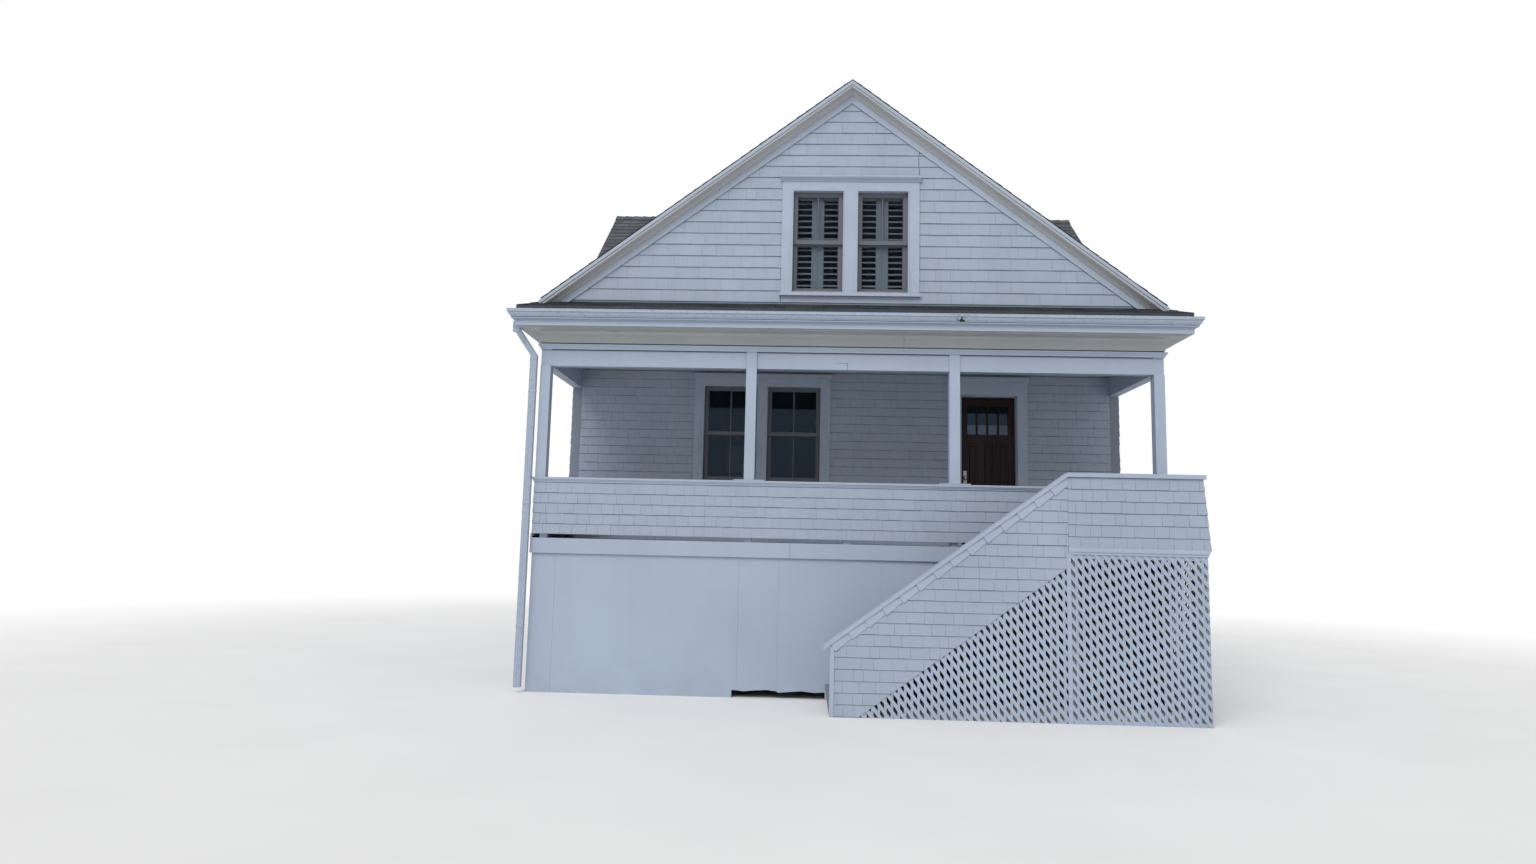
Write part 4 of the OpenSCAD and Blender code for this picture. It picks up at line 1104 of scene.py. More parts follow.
class TrimEaves(bpy.types.Operator):
    """Fit the boards of the rakes, the soffits and the mouldings over the porch beam"""

    bl_idname = "beach_house.trim_eaves"
    bl_label = "Trim the eaves"

    def execute(self, context):
        edges, moulding, felt = Shape(), Shape(), Shape()
        profile = [(0.002, 0.085), (-0.014, 0.087), (-0.014, 0.095), (-0.004, 0.100),
                   (0.012, 0.104), (0.034, 0.110), (0.056, 0.120), (0.072, 0.134),
                   (0.078, 0.144), (0.084, 0.145), (0.084, 0.156), (0.0965, 0.157),
                   (0.0965, 0.098), (0.005, 0.098)]
        for y, out in ((-RAKE_OVER, -1), (DEPTH + RAKE_OVER, 1)):
            for side in SIDES:
                x = side * HALF_W
                for rake, drop, high, thick in (
                        (edges, 0.011, 0.048, 0.028), (moulding, 0.059, 0.032, 0.017)):
                    top, low = RIDGE_Z - drop, EAVE_Z - drop
                    rake.prism([(0, top), (x, low), (side * (HALF_W + 0.03), EAVE_Z - 0.024),
                                (side * (HALF_W + 0.012), low - high - 0.006), (0, top - high)],
                               across_y, y, y + out * thick)
                moulding.rings([[(u, y - out * inward, z - drop) for inward, drop in profile]
                                for u, z in ((0, RIDGE_Z), (x, EAVE_Z))])
                felt.prism([(0, RIDGE_Z), (x, EAVE_Z), (x, EAVE_Z - 0.011), (0, RIDGE_Z - 0.011)],
                           across_y, y, y + out * 0.03)
        piece("rake_fascia", "trim", edges)
        piece("rake_mouldings", "soffit", moulding)
        piece("roof_edge_strips", "roof", felt)

        reach, low, back = HALF_W + EAVE_OVER, ATTIC_Z - SOFFIT_T, DEPTH + EAVE_OVER
        edge = reach - 0.06
        soffits = Shape(((-edge, -EAVE_OVER + 0.06, low), (edge, 0.004, ATTIC_Z)),
                        ((-edge, DEPTH - 0.004, low), (edge, back - 0.02, ATTIC_Z)))
        for side in SIDES:
            soffits.box((side * (HALF_W - 0.004), 0.004, low),
                        (side * edge, DEPTH - 0.004, ATTIC_Z))
        piece("soffit_boards", "soffit", soffits)

        piece("eave_bead", "trim", around(
            [(-0.001, -0.004), (0.040, -0.004), (0.043, -0.008), (0.043, -0.016),
             (0.036, -0.021), (-0.001, -0.021)], reach, -EAVE_OVER, back, GUTTER_TOP_Z - 0.09))

        piece("beam_moulding", "trim", around(
            [(-0.02, -0.006), (0.030, -0.006), (0.034, -0.010), (0.034, -0.024),
             (0.026, -0.030), (0.020, -0.042), (0.012, -0.052), (0.010, -0.066),
             (0.006, -0.069), (-0.02, -0.064)], HALF_W, 0.0, PORCH_Y - 0.01, CEIL_Z))

        frieze_low, frieze_top = CEIL_Z + 0.010, ATTIC_Z - 0.05
        frieze = Shape().prism(
            [(-0.014, frieze_low), (-0.014, frieze_top), (-0.030, ATTIC_Z - 0.02), (-0.030, low),
             (0.001, low), (0.001, frieze_low)], across_x, -HALF_W - 0.012, HALF_W + 0.012)
        piece("frieze_board", "soffit", frieze)

        # Dark strips: the two long ones under the frieze and along the beam top are painted shadow
        # lines around the moulding; the short ones are real joints in the beam and the frieze.
        inner = HALF_W - POST_W
        piece("beam_joints", "joint", Shape(
            ((-HALF_W - 0.002, -0.0025, CEIL_Z - 0.006), (HALF_W + 0.002, 0.019, CEIL_Z + 0.0105)),
            ((-inner, 0.0165, CEIL_Z - 0.0765), (inner, 0.021, CEIL_Z - 0.066)),
            ((-0.017, 0.018, BEAM_Z + 0.001), (-0.013, 0.021, BEAM_Z + 0.084)),
            ((-0.129, 0.018, BEAM_Z + 0.081), (-0.013, 0.021, BEAM_Z + 0.084)),
            ((0.659, -0.0145, frieze_low), (0.6625, 0.0, frieze_top))))
        return {"FINISHED"}


class HangGutters(bpy.types.Operator):
    """Form the gutter with its hangers, and the fluted downspout with its straps"""

    bl_idname = "beach_house.hang_gutters"
    bl_label = "Hang the gutters"

    def execute(self, context):
        z, edge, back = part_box("gutters")[0].z, HALF_W + EAVE_OVER, DEPTH + EAVE_OVER
        outer = [(0.001, 0.09), (0.001, 0.0), (0.050, 0.0), (0.052, 0.008), (0.060, 0.014),
                 (0.071, 0.034), (0.074, 0.048), (0.074, 0.052), (0.084, 0.054),
                 (0.0875, 0.058), (0.0875, 0.085), (0.0895, 0.087), (0.0895, 0.09)]
        inner = [(0.080, 0.09), (0.080, 0.087), (0.0845, 0.085), (0.0845, 0.0605),
                 (0.0825, 0.057), (0.071, 0.0555), (0.071, 0.048), (0.068, 0.035),
                 (0.057, 0.0165), (0.0495, 0.010), (0.0485, 0.003), (0.004, 0.003), (0.004, 0.09)]
        caps = Shape()
        for side in SIDES:
            caps.prism([(side * (edge + d), z + h) for d, h in outer], across_y,
                       back - 0.002, back)
        strap_low, strap_top, step = z + 0.081, z + 0.085, 0.64
        straps = [row(Shape(((-0.01, -0.086, strap_low), (0.01, -0.002, strap_top))), 13,
                      (step, 0, 0), (-3.84, -EAVE_OVER, 0), (0.02, 0, 0))]
        half_turn = Matrix.Translation((0, DEPTH, 0)) @ Matrix.Rotation(math.pi, 4, "Z")
        for where in (half_turn, Matrix()):
            made = row(Shape(((0.002, -0.01, strap_low), (0.086, 0.01, strap_top))), 15,
                       (0, step, 0), (edge, 0.2, 0), (0, 0.02, 0), 4)
            made.transform(where)
            straps.append(made)
        piece("gutter_run", "gutter", around(outer + inner, edge, -EAVE_OVER, back, z), caps,
              *straps, nodes=["gutters"])

        low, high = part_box("downspout")
        wide, deep, far = 0.085, high.y - low.y, high.y - 0.004
        outlet_x, wall_x = low.x, high.x - wide
        outline = fluted(wide, deep)
        pipe = Shape().rings([[(x + u, low.y + v, h) for u, v in outline] for x, h in (
            (outlet_x, high.z), (outlet_x, high.z - 0.09), (wall_x, CEIL_Z - 0.16),
            (wall_x, low.z))])
        bands = Shape(*[((wall_x - 0.0015, low.y - 0.0025, h), (high.x + 0.002, far, h + 0.028))
                        for h in (3.55, 2.2, 0.75)])
        for x, h in ((outlet_x, high.z - 0.13), (wall_x, CEIL_Z - 0.2)):
            bands.box((x - 0.0015, low.y - 0.0015, h), (x + wide + 0.0015, far, h + 0.02))
        piece("downspout_pipe", "gutter", pipe, bands, nodes=["downspout"])
        return {"FINISHED"}


def fluted(wide, deep):
    """Outline of a rectangular pipe with shallow flutes."""
    points = []
    for (x, y), (ax, ay), length, steps in (
            ((0, 0), (1, 0), wide, 3), ((wide, 0), (0, 1), deep, 2),
            ((wide, deep), (-1, 0), wide, 3), ((0, deep), (0, -1), deep, 2)):
        for i in range(steps):
            for share, sink in ((0.18, 0.0), (0.32, 0.004), (0.68, 0.004), (0.82, 0.0)):
                t = (i + share) / steps * length
                points.append((x + ax * t - ay * sink, y + ay * t + ax * sink))
    return points


def single_windows():
    """Surfaces of the side and back walls, each with its middle on a window."""
    return [wall(side * HALF_W, y, BACK * side) for side in SIDES for y in SIDE_WINDOWS] + [
        wall(x, DEPTH, LEFT) for x in BACK_WINDOWS]


def paired_windows():
    """Surface, foot and height of the sashes, and crown top, of each pair in gable or dormer."""
    return [(wall(0, y, along), GABLE_SASH_Z, GABLE_SASH_H, GABLE_WINDOWS[1].z)
            for y, along in ((0, RIGHT), (DEPTH, LEFT))] + [
        (wall(side * DORMER_FACE, DORMER_Y, BACK * side), DORMER_SASH_Z, DORMER_SASH_H,
         DORMER_CROWN_Z) for side in SIDES]


def openings():
    """Every pair of sashes: surface, left edge, width, foot, height, and if the lower is barred."""
    first = PORCH_WINDOWS[0].x + CASING_W + CROWN_SIDE
    found = [(wall(0, PORCH_Y, RIGHT), x) for x in (first, first + SASH_W + PORCH_MULL)]
    found += [(where, -SASH_W / 2) for where in single_windows()]
    return [(*place, SASH_W, SASH_Z, SASH_H, True) for place in found] + [
        (where, x, GABLE_SASH_W, low, high, False) for where, low, high, _ in paired_windows()
        for x in (-GABLE_MULL / 2 - GABLE_SASH_W, GABLE_MULL / 2)]


def crowns():
    """Every crown over a window or the door: surface, both ends and top line."""
    single, pair = SASH_W / 2 + CASING_W + CROWN_SIDE, GABLE_WINDOWS[1].x
    return [(wall(0, PORCH_Y, RIGHT), low.x, high.x, CROWN_Z)
            for low, high in (PORCH_WINDOWS, DOOR)] + [
        (where, -single, single, CROWN_Z) for where in single_windows()] + [
        (where, -pair, pair, top) for where, _, _, top in paired_windows()]


class BeadWindows(bpy.types.Operator):
    """Fit the beads of the crowns and the beads along the inner edges of the casings"""

    bl_idname = "beach_house.bead_windows"
    bl_label = "Bead the windows"

    def execute(self, context):
        meshes, lean_u, lean_v = [], 0.654, 0.756
        for where, start, end, top in crowns():
            shape = Shape()
            for near, far, proud in (
                    (0.004, 0.017, 0.006), (0.030, 0.036, 0.003), (0.050, 0.067, 0.007)):
                outline = [(top - 0.018 - lean_v * t - lean_u * h,
                            0.070 - lean_u * t + lean_v * h)
                           for t, h in ((near, -0.003), (near, proud), (far, proud),
                                        (far, -0.003))]
                shape.prism(outline, across_x, start, end)
            meshes.append(shape.mesh(where))
        near, far, back, face = 0.001, 0.015, CASING_T - 0.003, CASING_T + 0.006
        for where, left, width, sill, height, _ in openings():
            right, top = left + width, sill + height
            meshes.append(Shape(
                ((left - far, sill, back), (left - near, top + far, face)),
                ((right + near, sill, back), (right + far, top + far, face)),
                ((left - near, top + near, back), (right + near, top + far, face))).mesh(where))
        piece("window_beads", "trim", *meshes, bevel=0.0015)
        return {"FINISHED"}


class BarWindows(bpy.types.Operator):
    """Set the upright bars and the putty edges of the sashes"""

    bl_idname = "beach_house.bar_windows"
    bl_label = "Bar the windows"

    def execute(self, context):
        meshes, half, stile, putty = [], context.scene.beach_trim.bar / 2, 0.05, 0.009
        for where, left, width, sill, height, both in openings():
            mid, centre, shape = sill + height / 2, left + width / 2, Shape()
            a, b = left + stile, left + width - stile
            for low, high, depth, barred in (
                    (mid + stile / 2, sill + height - stile, 0.040, True),
                    (sill + stile, mid - stile / 2, 0.077, both)):
                front, glass = -depth - 0.004, -depth - 0.0145
                if barred:
                    shape.prism([(centre - half, glass), (centre + half, glass),
                                 (centre + half * 0.5, front), (centre - half * 0.5, front)],
                                across_y, low - 0.002, high + 0.002)
                for u, t in ((a, putty), (b, -putty)):
                    shape.prism([(u, glass), (u + t, glass), (u, front)], across_y, low, high)
                for v, t in ((low, putty), (high, -putty)):
                    shape.prism([(v, glass), (v + t, glass), (v, front)], across_x, a, b)
            meshes.append(shape.mesh(where))
        piece("sash_bars", "sash", *meshes)
        return {"FINISHED"}


class HangShutters(bpy.types.Operator):
    """Build the louvred shutters inside the gable windows"""

    bl_idname = "beach_house.hang_shutters"
    bl_label = "Hang the shutters"

    def execute(self, context):
        spacing = context.scene.beach_trim.louvre
        low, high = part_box("gable_shutters")
        outer, inner, rail, meshes = 0.046, 0.074, 0.07, []
        leaf, tilt = (GABLE_SASH_W - 0.004) / 2, spacing * 0.15
        middle, deep = (low.z + high.z) / 2, (high.y - low.y) / 2
        for left in (low.x, GABLE_MULL / 2 + 0.002):
            for number in range(2):
                a = left + number * leaf + 0.001
                b = a + leaf - 0.002
                c, d = (a + inner, b - outer) if number else (a + outer, b - inner)
                boards = [(a, c, low.z, high.z), (d, b, low.z, high.z), (c, d, low.z, low.z + rail),
                          (c, d, middle - rail / 2, middle + rail / 2),
                          (c, d, high.z - rail, high.z)]
                meshes.append(Shape(*[((x0, low.y, z0), (x1, high.y, z1))
                                      for x0, x1, z0, z1 in boards]))
                slat = Shape().prism([(-deep, -tilt + 0.003), (-deep, -tilt - 0.003),
                                      (deep, tilt - 0.003), (deep, tilt + 0.003)], across_x, c, d)
                for z0, z1 in ((low.z + rail, middle - rail / 2),
                               (middle + rail / 2, high.z - rail)):
                    count = round((z1 - z0) / spacing)
                    step = (z1 - z0) / count
                    meshes.append(row(slat, count, (0, 0, step),
                                      (0, (low.y + high.y) / 2, z0 + step / 2)))
        piece("louvred_shutters", "shutter", *meshes, nodes=["gable_shutters"])
        return {"FINISHED"}


class BuildDoor(bpy.types.Operator):
    """Frame the door leaf with its three panels below four lights"""

    bl_idname = "beach_house.build_door"
    bl_label = "Build the door leaf"

    def execute(self, context):
        low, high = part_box("front_door")
        glass_low, glass_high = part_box("door_glass")
        side, foot, lock, light, stile, bar = 0.095, 0.21, 0.13, 0.4, 0.07, 0.03
        a, b = low.x + side, high.x - side
        light_low, panel_low = glass_high.z - light, low.z + foot
        panel_top = light_low - lock
        width, centre = (b - a - 2 * stile) / 3, (low.y + high.y) / 2
        boards = [(low.x, a, low.z, high.z), (b, high.x, low.z, high.z),
                  (a, b, low.z, panel_low), (a, b, panel_top, light_low),
                  (a, b, glass_high.z, high.z)]
        shape = Shape(*[((x0, low.y, z0), (x1, high.y, z1)) for x0, x1, z0, z1 in boards])
        z0, z1 = panel_low, panel_top
        for i in range(3):
            x0 = a + i * (width + stile)
            x1 = x0 + width
            if i < 2:
                shape.box((x1, low.y, z0), (x1 + stile, high.y, z1))
            for face in SIDES:
                flat, proud = centre + face * 0.006, centre + face * 0.014
                shape.rings([
                    [(x0 + t, y, z0 + t), (x1 - t, y, z0 + t), (x1 - t, y, z1 - t),
                     (x0 + t, y, z1 - t)]
                    for t, y in ((-0.001, centre), (-0.001, flat), (0.028, flat), (0.036, proud))])
        pane = (b - a - bar * 3) / 4
        for i in range(3):
            x = a + (i + 1) * pane + i * bar
            for back, face in ((glass_low.y, low.y + 0.004), (glass_high.y, high.y - 0.004)):
                shape.prism([(x, back), (x + bar, back), (x + bar - 0.008, face),
                             (x + 0.008, face)], across_z, light_low - 0.002, glass_high.z + 0.002)
        shelf = light_low - 0.04
        shape.box((a - 0.01, low.y - 0.004, shelf), (b + 0.01, low.y + 0.001, shelf + 0.022))
        piece("door_leaf", "door", shape, body="door", nodes=["front_door"], bevel=0.0012)
        return {"FINISHED"}


class PanelBase(bpy.types.Operator):
    """Fit the base panels, the battens, the porch edge board and the side boards"""

    bl_idname = "beach_house.panel_base"
    bl_label = "Panel the base"

    def execute(self, context):
        base_low, base_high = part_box("base_front")
        front, back = base_low.y, base_high.y
        joints = [-HALF_W, -3.458, -1.264, -0.794, 0.42, 1.64, 2.86, HALF_W]
        gap, broken = (-1.32, -0.23), [0.09, 0.074, 0.088, 0.097, 0.069, 0.081, 0.093, 0.078, 0.09]
        marks = [(gap[0] + i * (gap[1] - gap[0]) / (len(broken) - 1), z)
                 for i, z in enumerate(broken)]
        panels = Shape()
        for left, right in zip(joints, joints[1:]):
            a, b = left + 0.0006, right - 0.0006
            start, end = max(a, gap[0]), min(b, gap[1])
            edge = [(a, BASE_Z), (b, BASE_Z)]
            if start < end:
                edge += [(b, 0.0), (end, 0.0)] if end < b else []
                edge += [(end, 0.085), *[m for m in reversed(marks) if start < m[0] < end],
                         (start, 0.085)]
                edge += [(start, 0.0), (a, 0.0)] if start > a else []
            else:
                edge += [(b, 0.0), (a, 0.0)]
            panels.prism(edge, across_y, front, front + 0.014)
        inner = front + 0.0135
        piece("front_base_panels", "base", panels, Shape(
            ((-HALF_W, inner, 0), (gap[0], back, BASE_Z)),
            ((gap[1], inner, 0), (HALF_W, back, BASE_Z)),
            ((gap[0] - 0.001, inner, 0.1), (gap[1] + 0.001, back, BASE_Z))), nodes=["base_front"])

        skirt = Shape()
        low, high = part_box("skirt_board")
        for left, right in ((-HALF_W, -0.6675), (-0.6645, 1.9), (1.903, HALF_W)):
            skirt.prism([(low.y + 0.003, low.z), (low.y, low.z + 0.003), (low.y, high.z - 0.003),
                         (low.y + 0.003, high.z), (high.y, high.z), (high.y, low.z)],
                        across_x, left, right)
        piece("porch_edge_boards", "trim", skirt, nodes=["skirt_board"])

        hidden, end = HALF_W - 0.002, DEPTH - 0.002
        foot, head = DECK_Z + 0.02, ATTIC_Z - SOFFIT_T
        bands = Shape(
            ((-HALF_W - 0.019, 0.002, DECK_Z), (-hidden, PORCH_Y, SLOT_Z + 0.003)),
            ((-HALF_W - 0.02, end, BASE_Z), (HALF_W + 0.02, DEPTH + 0.02, foot)),
            ((-HALF_W - 0.014, end, CEIL_Z), (HALF_W + 0.014, DEPTH + 0.014, head)))
        for side in SIDES:
            bands.box((side * hidden, 0.001, BASE_Z), (side * (HALF_W + 0.02), end, foot))
            bands.box((side * hidden, PORCH_Y, CEIL_Z), (side * (HALF_W + 0.014), end, head))
            near, far, wide = side * hidden, side * (HALF_W + 0.016), side * (HALF_W - 0.064)
            bands.prism([(far, DEPTH - 0.064), (far, DEPTH + 0.016), (wide, DEPTH + 0.016),
                         (wide, end), (near, end), (near, DEPTH - 0.064)],
                        across_z, 0, CEIL_Z - 0.001)
        thick, half, step = 0.012, 0.03, 1.22
        batten = Shape(((0, -half, 0), (thick, half, BASE_Z)))
        battens = [row(batten, 7, (0, step, 0), (x, 0.9, 0), seed=5)
                   for x in (HALF_W, -HALF_W - thick)]
        battens.append(row(Shape(((-half, 0, 0), (half, thick, BASE_Z))), 5, (step, 0, 0),
                           (-2 * step, DEPTH, 0), seed=6))
        piece("side_and_back_boards", "trim", bands, *battens)
        return {"FINISHED"}


class BoardPorch(bpy.types.Operator):
    """Lay the boards of the porch floor and ceiling, and the moulded cap of the parapet"""

    bl_idname = "beach_house.board_porch"
    bl_label = "Board the porch"

    def execute(self, context):
        inner = HALF_W - POST_W
        board = Shape().prism([(-0.0405, 0), (-0.0405, 0.003), (-0.039, 0.005), (0.039, 0.005),
                               (0.0405, 0.003), (0.0405, 0)], across_y, POST_W, PORCH_Y - 0.026)
        piece("porch_floor_boards", "boards",
              row(board, 86, (0.084, 0, 0), (-inner + 0.045, 0, DECK_Z), seed=14))

        board = Shape().prism([(-0.040, 0), (-0.040, -0.004), (-0.037, -0.008), (0.037, -0.008),
                               (0.040, -0.004), (0.040, 0)], across_x, -inner, inner)
        count = 18
        step = (PORCH_Y - POST_W - 0.02) / count
        piece("porch_ceiling_boards", "ceiling",
              row(board, count, (0, step, 0), (0, POST_W + 0.05, CEIL_Z), seed=15))

        top, low, back = CAP_TOP_Z, CAP_Z, -POST_W - 0.03
        profile = [(0.03, top - 0.004), (0.03, top - 0.024), (0.026, top - 0.028),
                   (0.020, top - 0.029), (0.018, low + 0.020), (0.010, low + 0.010), (0.008, low),
                   (back + 0.022, low), (back + 0.01, low + 0.028), (back, top - 0.028),
                   (back, top - 0.004), (back + 0.004, top), (0.026, top)]
        end_x = LANDING_X + 0.1
        left = [[(-HALF_W - d, PORCH_Y, z) for d, z in profile],
                [(-HALF_W - d, -d, z) for d, z in profile], [(end_x, -d, z) for d, z in profile]]
        right = [[(HALF_W + d, y, z) for d, z in profile] for y in (-0.03, PORCH_Y)]
        piece("parapet_cap", "trim", Shape().rings(left), Shape().rings(right),
              nodes=["porch_caps"])
        return {"FINISHED"}


class BoardStair(bpy.types.Operator):
    """Lay treads and landing boards, the landing's edge board and the band under the stair cap"""

    bl_idname = "beach_house.board_stair"
    bl_label = "Board the stair"

    def execute(self, context):
        steps = 9
        rise, run = DECK_Z / (steps + 1), (LANDING_X - FOOT_X) / steps
        back, front = -0.006, STAIR_Y + 0.104
        tread = Shape()
        for left, right in ((-0.022, run * 0.47), (run * 0.47 + 0.004, run - 0.001)):
            tread.prism([(left, 0.0), (left, 0.003), (left + 0.003, 0.006), (right, 0.006),
                         (right, 0.0)], across_y, front, back)
        nose = Shape(((-0.022, front, -0.022), (0.0, back, 0.001)))
        board = Shape(((LANDING_X, -0.041, 0), (HALF_W - 0.12, 0.041, 0.005)))
        piece("treads_and_landing_boards", "boards",
              *[row(part, steps, (run, 0, rise), (FOOT_X, 0, rise), seed=17)
                for part in (tread, nose)],
              row(board, 11, (0, 0.0855, 0), (0, STAIR_Y + 0.148, DECK_Z), seed=18))

        strip, edge_y = Shape(), STAIR_Y + 0.002
        for out, z0, z1 in ((0.018, -0.026, 0.018), (0.008, -0.055, -0.024)):
            z0, z1 = DECK_Z + z0, DECK_Z + z1
            strip.box((LANDING_X, STAIR_Y - out, z0), (HALF_W + out, edge_y, z1))
            strip.box((HALF_W - 0.002, edge_y, z0), (HALF_W + out, -0.01, z1))
        piece("landing_edge_boards", "strip", strip)

        slope = math.atan(CAP_SLOPE)
        along, up = (math.cos(slope), 0, math.sin(slope)), (-math.sin(slope), 0, math.cos(slope))
        short = Shape().rings([
            [(x, v, n) for v, n in ((-0.074 + lean, 0), (0.012 + lean, 0), (0.012 + lean, thick),
                                    (-0.074 + lean, thick))]
            for x, lean, thick in ((0, 0, 0.018), (0.226, 0.014, 0.006))])
        band = row(short, 16, (0.22, 0, 0), (-0.2, 0, 0), (0, 0.0015, 0.0004), 21)
        start = (FOOT_X, STAIR_Y, cap_z(FOOT_X) - RAIL_CAP_T - 0.012 / math.cos(slope))
        band.transform(plane(start, along, up))
        band = cut(band, ((FOOT_X, 0, 0), LEFT), ((LANDING_X, 0, 0), RIGHT),
                   ((LANDING_X, 0, LANDING_TOP_Z - RAIL_CAP_T - 0.0005), CAP_OUT))
        corner_top = cap_z(FOOT_X) - 0.06
        piece("stair_band_boards", "trim", band, Shape(
            ((FOOT_X, STAIR_Y - 0.016, 0), (FOOT_X + 0.045, STAIR_Y + 0.001, corner_top))))
        return {"FINISHED"}


class CrossLattice(bpy.types.Operator):
    """Nail slanted strips over upright slats below the stair and the landing"""

    bl_idname = "beach_house.cross_lattice"
    bl_label = "Cross the lattice"

    def execute(self, context):
        trims, angle, rail = context.scene.beach_trim, math.radians(52.6), 0.04
        slat_step, strip_step = 0.069, 0.068 / math.sin(angle)
        x0 = LANDING_X - (LANDING_TOP_Z - RAIL_BAND) / CAP_SLOPE + 0.002
        front = wall(0, STAIR_Y, RIGHT)
        for name, where, left, right, top, planes in (
                ("stair", front, x0, LANDING_X, (LANDING_X - x0) * CAP_SLOPE,
                 [((x0, 0, 0), CAP_OUT)]),
                ("landing", front, LANDING_X + 0.0003, HALF_W - 0.0003, LATTICE_TOP, []),
                ("side", wall(HALF_W, 0, BACK), STAIR_Y + 0.016, 0.0, LATTICE_TOP, [])):
            upright = Shape(((0, 0, -0.016), (trims.slat, top, -0.008)))
            count = int((right - left) / slat_step) + 1
            slats = row(upright, count, (slat_step, 0, 0), (left, 0, 0), (0.0015, 0, 0), 23)
            length, half = top / math.sin(angle) + 0.3, trims.strip / 2
            strip = Shape(((-length, -half, -0.008), (0.0, half, 0.0)))
            turn = Matrix.Rotation(-angle, 4, "Z")
            strip.corners = [tuple(turn @ Vector(corner)) for corner in strip.corners]
            count = int((right - left + length * math.cos(angle)) / strip_step) + 2
            strips = row(strip, count, (strip_step, 0, 0), (left, -0.02, 0), (0.003, 0, 0), 25)
            meshes = []
            for made in (slats, strips):
                made = cut(made, ((left, 0, 0), LEFT), ((right, 0, 0), RIGHT),
                           ((0, 0, 0), FRONT), ((0, top, 0), BACK))
                made.transform(where)
                meshes.append(cut(made, *planes))
            if name != "stair":
                meshes.append(Shape(*[
                    ((left, v, -0.0162), (right, v + rail, -0.0079))
                    for v in (0.0, top - rail)]).mesh(where))
            if name == "landing":
                meshes.append(Shape(((LANDING_X - 0.022, STAIR_Y - 0.007, 0),
                                     (LANDING_X + 0.022, STAIR_Y + 0.001, LATTICE_TOP))))
            piece(name + "_lattice", "trim", *meshes, nodes=["lattice_" + name])
        return {"FINISHED"}


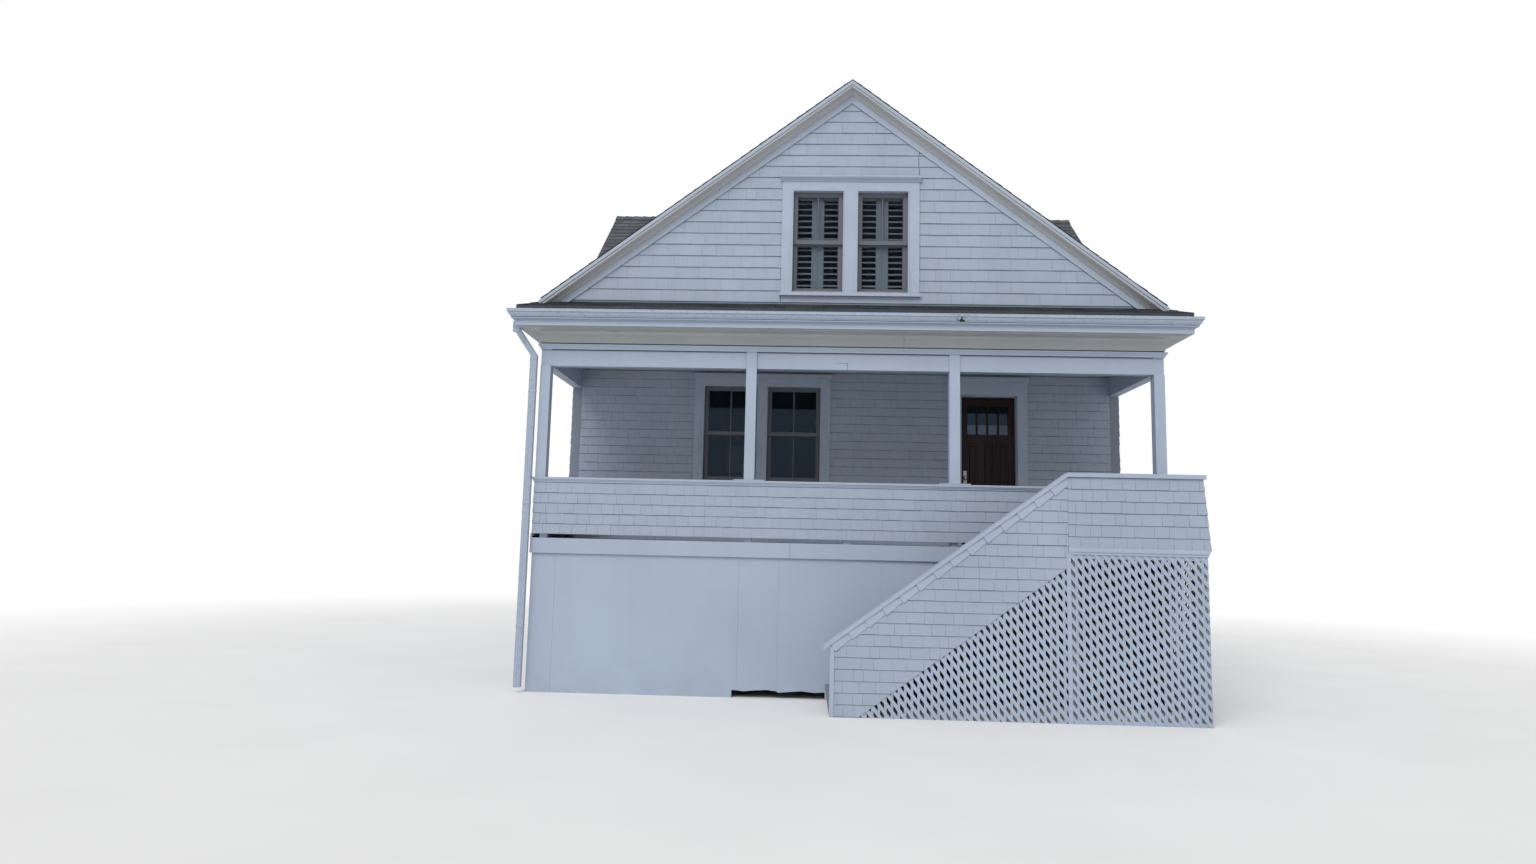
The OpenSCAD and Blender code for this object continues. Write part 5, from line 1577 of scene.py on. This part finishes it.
class SetStage(bpy.types.Operator):
    """Make the pale floor, the soft light and the camera"""

    bl_idname = "beach_house.set_stage"
    bl_label = "Set the stage"

    def execute(self, context):
        scene = context.scene
        scene.view_settings.view_transform = "Standard"

        mesh = bpy.data.meshes.new("floor")
        mesh.from_pydata([(x * FLOOR_HALF, y * FLOOR_HALF, 0)
                          for x, y in ((-1, -1), (1, -1), (1, 1), (-1, 1))], [], [(0, 1, 2, 3)])
        floor = bpy.data.objects.new("floor", mesh)
        scene.collection.objects.link(floor)
        paper = Finish("Pale floor")
        away = paper.node("ShaderNodeVectorMath", {0: paper.place, 1: FLOOR_MIDDLE},
                          operation="DISTANCE")["Value"]
        away = paper.math("MULTIPLY", paper.spread(away, FADE_START, FADE_END),
                          paper.node("ShaderNodeLightPath")["Is Camera Ray"])
        speck = paper.spread(paper.noise(0.6, 3.0), 0.3, 0.7, 0.79, 0.82)
        paper.set(Base_Color=speck, Roughness=0.9)
        glow = paper.node("ShaderNodeEmission", {"Strength": 1.0})[0]
        blend = paper.node("ShaderNodeMixShader", {0: away, 1: paper.shader.outputs[0], 2: glow})
        paper.put(paper.tree.nodes["Material Output"].inputs["Surface"], blend[0])
        mesh.materials.append(paper.material)

        # The camera, reflections and glass see even white, and the weaker sky lights the rest.
        world = bpy.data.worlds.new("Soft light")
        world.use_nodes = True
        scene.world = world
        air = Nodes(world.node_tree)
        sky = air.tree.nodes["Background"]
        air.put(sky.inputs["Color"], (1, 1, 1, 1))
        air.put(sky.inputs["Strength"], scene.beach_stage.sky)
        white = air.node("ShaderNodeBackground", {"Color": (1, 1, 1, 1)})[0]
        path = air.node("ShaderNodeLightPath")
        seen = path["Is Camera Ray"]
        for ray in ("Is Glossy Ray", "Is Transmission Ray"):
            seen = air.math("MAXIMUM", seen, path[ray])
        choose = air.node("ShaderNodeMixShader", {0: seen, 1: sky.outputs[0], 2: white})
        air.put(air.tree.nodes["World Output"].inputs["Surface"], choose[0])

        lamp = bpy.data.lights.new("Key light", "SUN")
        lamp.energy = scene.beach_stage.sun
        lamp.angle = math.radians(35)
        key = bpy.data.objects.new("Key light", lamp)
        scene.collection.objects.link(key)
        key.rotation_euler = Vector((0.45, 1.0, -1.05)).to_track_quat("-Z", "Y").to_euler()

        level = Vector((math.cos(CAMERA_YAW), math.sin(CAMERA_YAW), 0))
        ahead = UP.cross(level) * math.cos(CAMERA_PITCH) + UP * math.sin(CAMERA_PITCH)
        below = ahead.cross(level)
        side = level * math.cos(CAMERA_ROLL) - below * math.sin(CAMERA_ROLL)
        down = below * math.cos(CAMERA_ROLL) + level * math.sin(CAMERA_ROLL)
        lens = bpy.data.cameras.new("Camera")
        lens.sensor_width, lens.lens, lens.clip_end = SENSOR, LENS, VIEW_END
        camera = bpy.data.objects.new("Camera", lens)
        scene.collection.objects.link(camera)
        turn = Matrix((side, -down, -ahead)).transposed().to_4x4()
        camera.matrix_world = Matrix.Translation(CAMERA_AT) @ turn
        scene.camera = camera
        return {"FINISHED"}


class BEACH_PT_house(bpy.types.Panel):
    """Sizes, colours and pieces of the beach house"""

    bl_label = "Beach house"
    bl_space_type = "VIEW_3D"
    bl_region_type = "UI"
    bl_category = "Beach house"

    def draw(self, context):
        for group in GROUPS:
            values = getattr(context.scene, GROUPS[group])
            box = self.layout.box()
            for name in group.__annotations__:
                box.prop(values, name)
        for operator in OPERATORS:
            self.layout.operator(operator.bl_idname)


GROUPS = {BeachHouseShingles: "beach_shingles", BeachHouseRoof: "beach_roof",
          BeachHouseTrim: "beach_trim", BeachHouseColours: "beach_colours",
          BeachHouseStage: "beach_stage"}
OPERATORS = [PaintFrame, ShingleWalls, ShingleDormers, ShingleRoof, CapRidges, TrimEaves,
             HangGutters, BeadWindows, BarWindows, HangShutters, BuildDoor, PanelBase,
             BoardPorch, BoardStair, CrossLattice, SetStage]


def register():
    """Adds the values, the operators and the panel."""
    for group, name in GROUPS.items():
        bpy.utils.register_class(group)
        setattr(bpy.types.Scene, name, bpy.props.PointerProperty(type=group))
    for operator in OPERATORS:
        bpy.utils.register_class(operator)
    bpy.utils.register_class(BEACH_PT_house)


def unregister():
    """Takes the panel, the operators and the values away."""
    bpy.utils.unregister_class(BEACH_PT_house)
    for operator in reversed(OPERATORS):
        bpy.utils.unregister_class(operator)
    for group, name in GROUPS.items():
        delattr(bpy.types.Scene, name)
        bpy.utils.unregister_class(group)


def main():
    """Builds every piece and the stage in order."""
    register()
    for operator in OPERATORS:
        group, name = operator.bl_idname.split(".")
        getattr(getattr(bpy.ops, group), name)()
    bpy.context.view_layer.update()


if __name__ == "__main__":
    main()
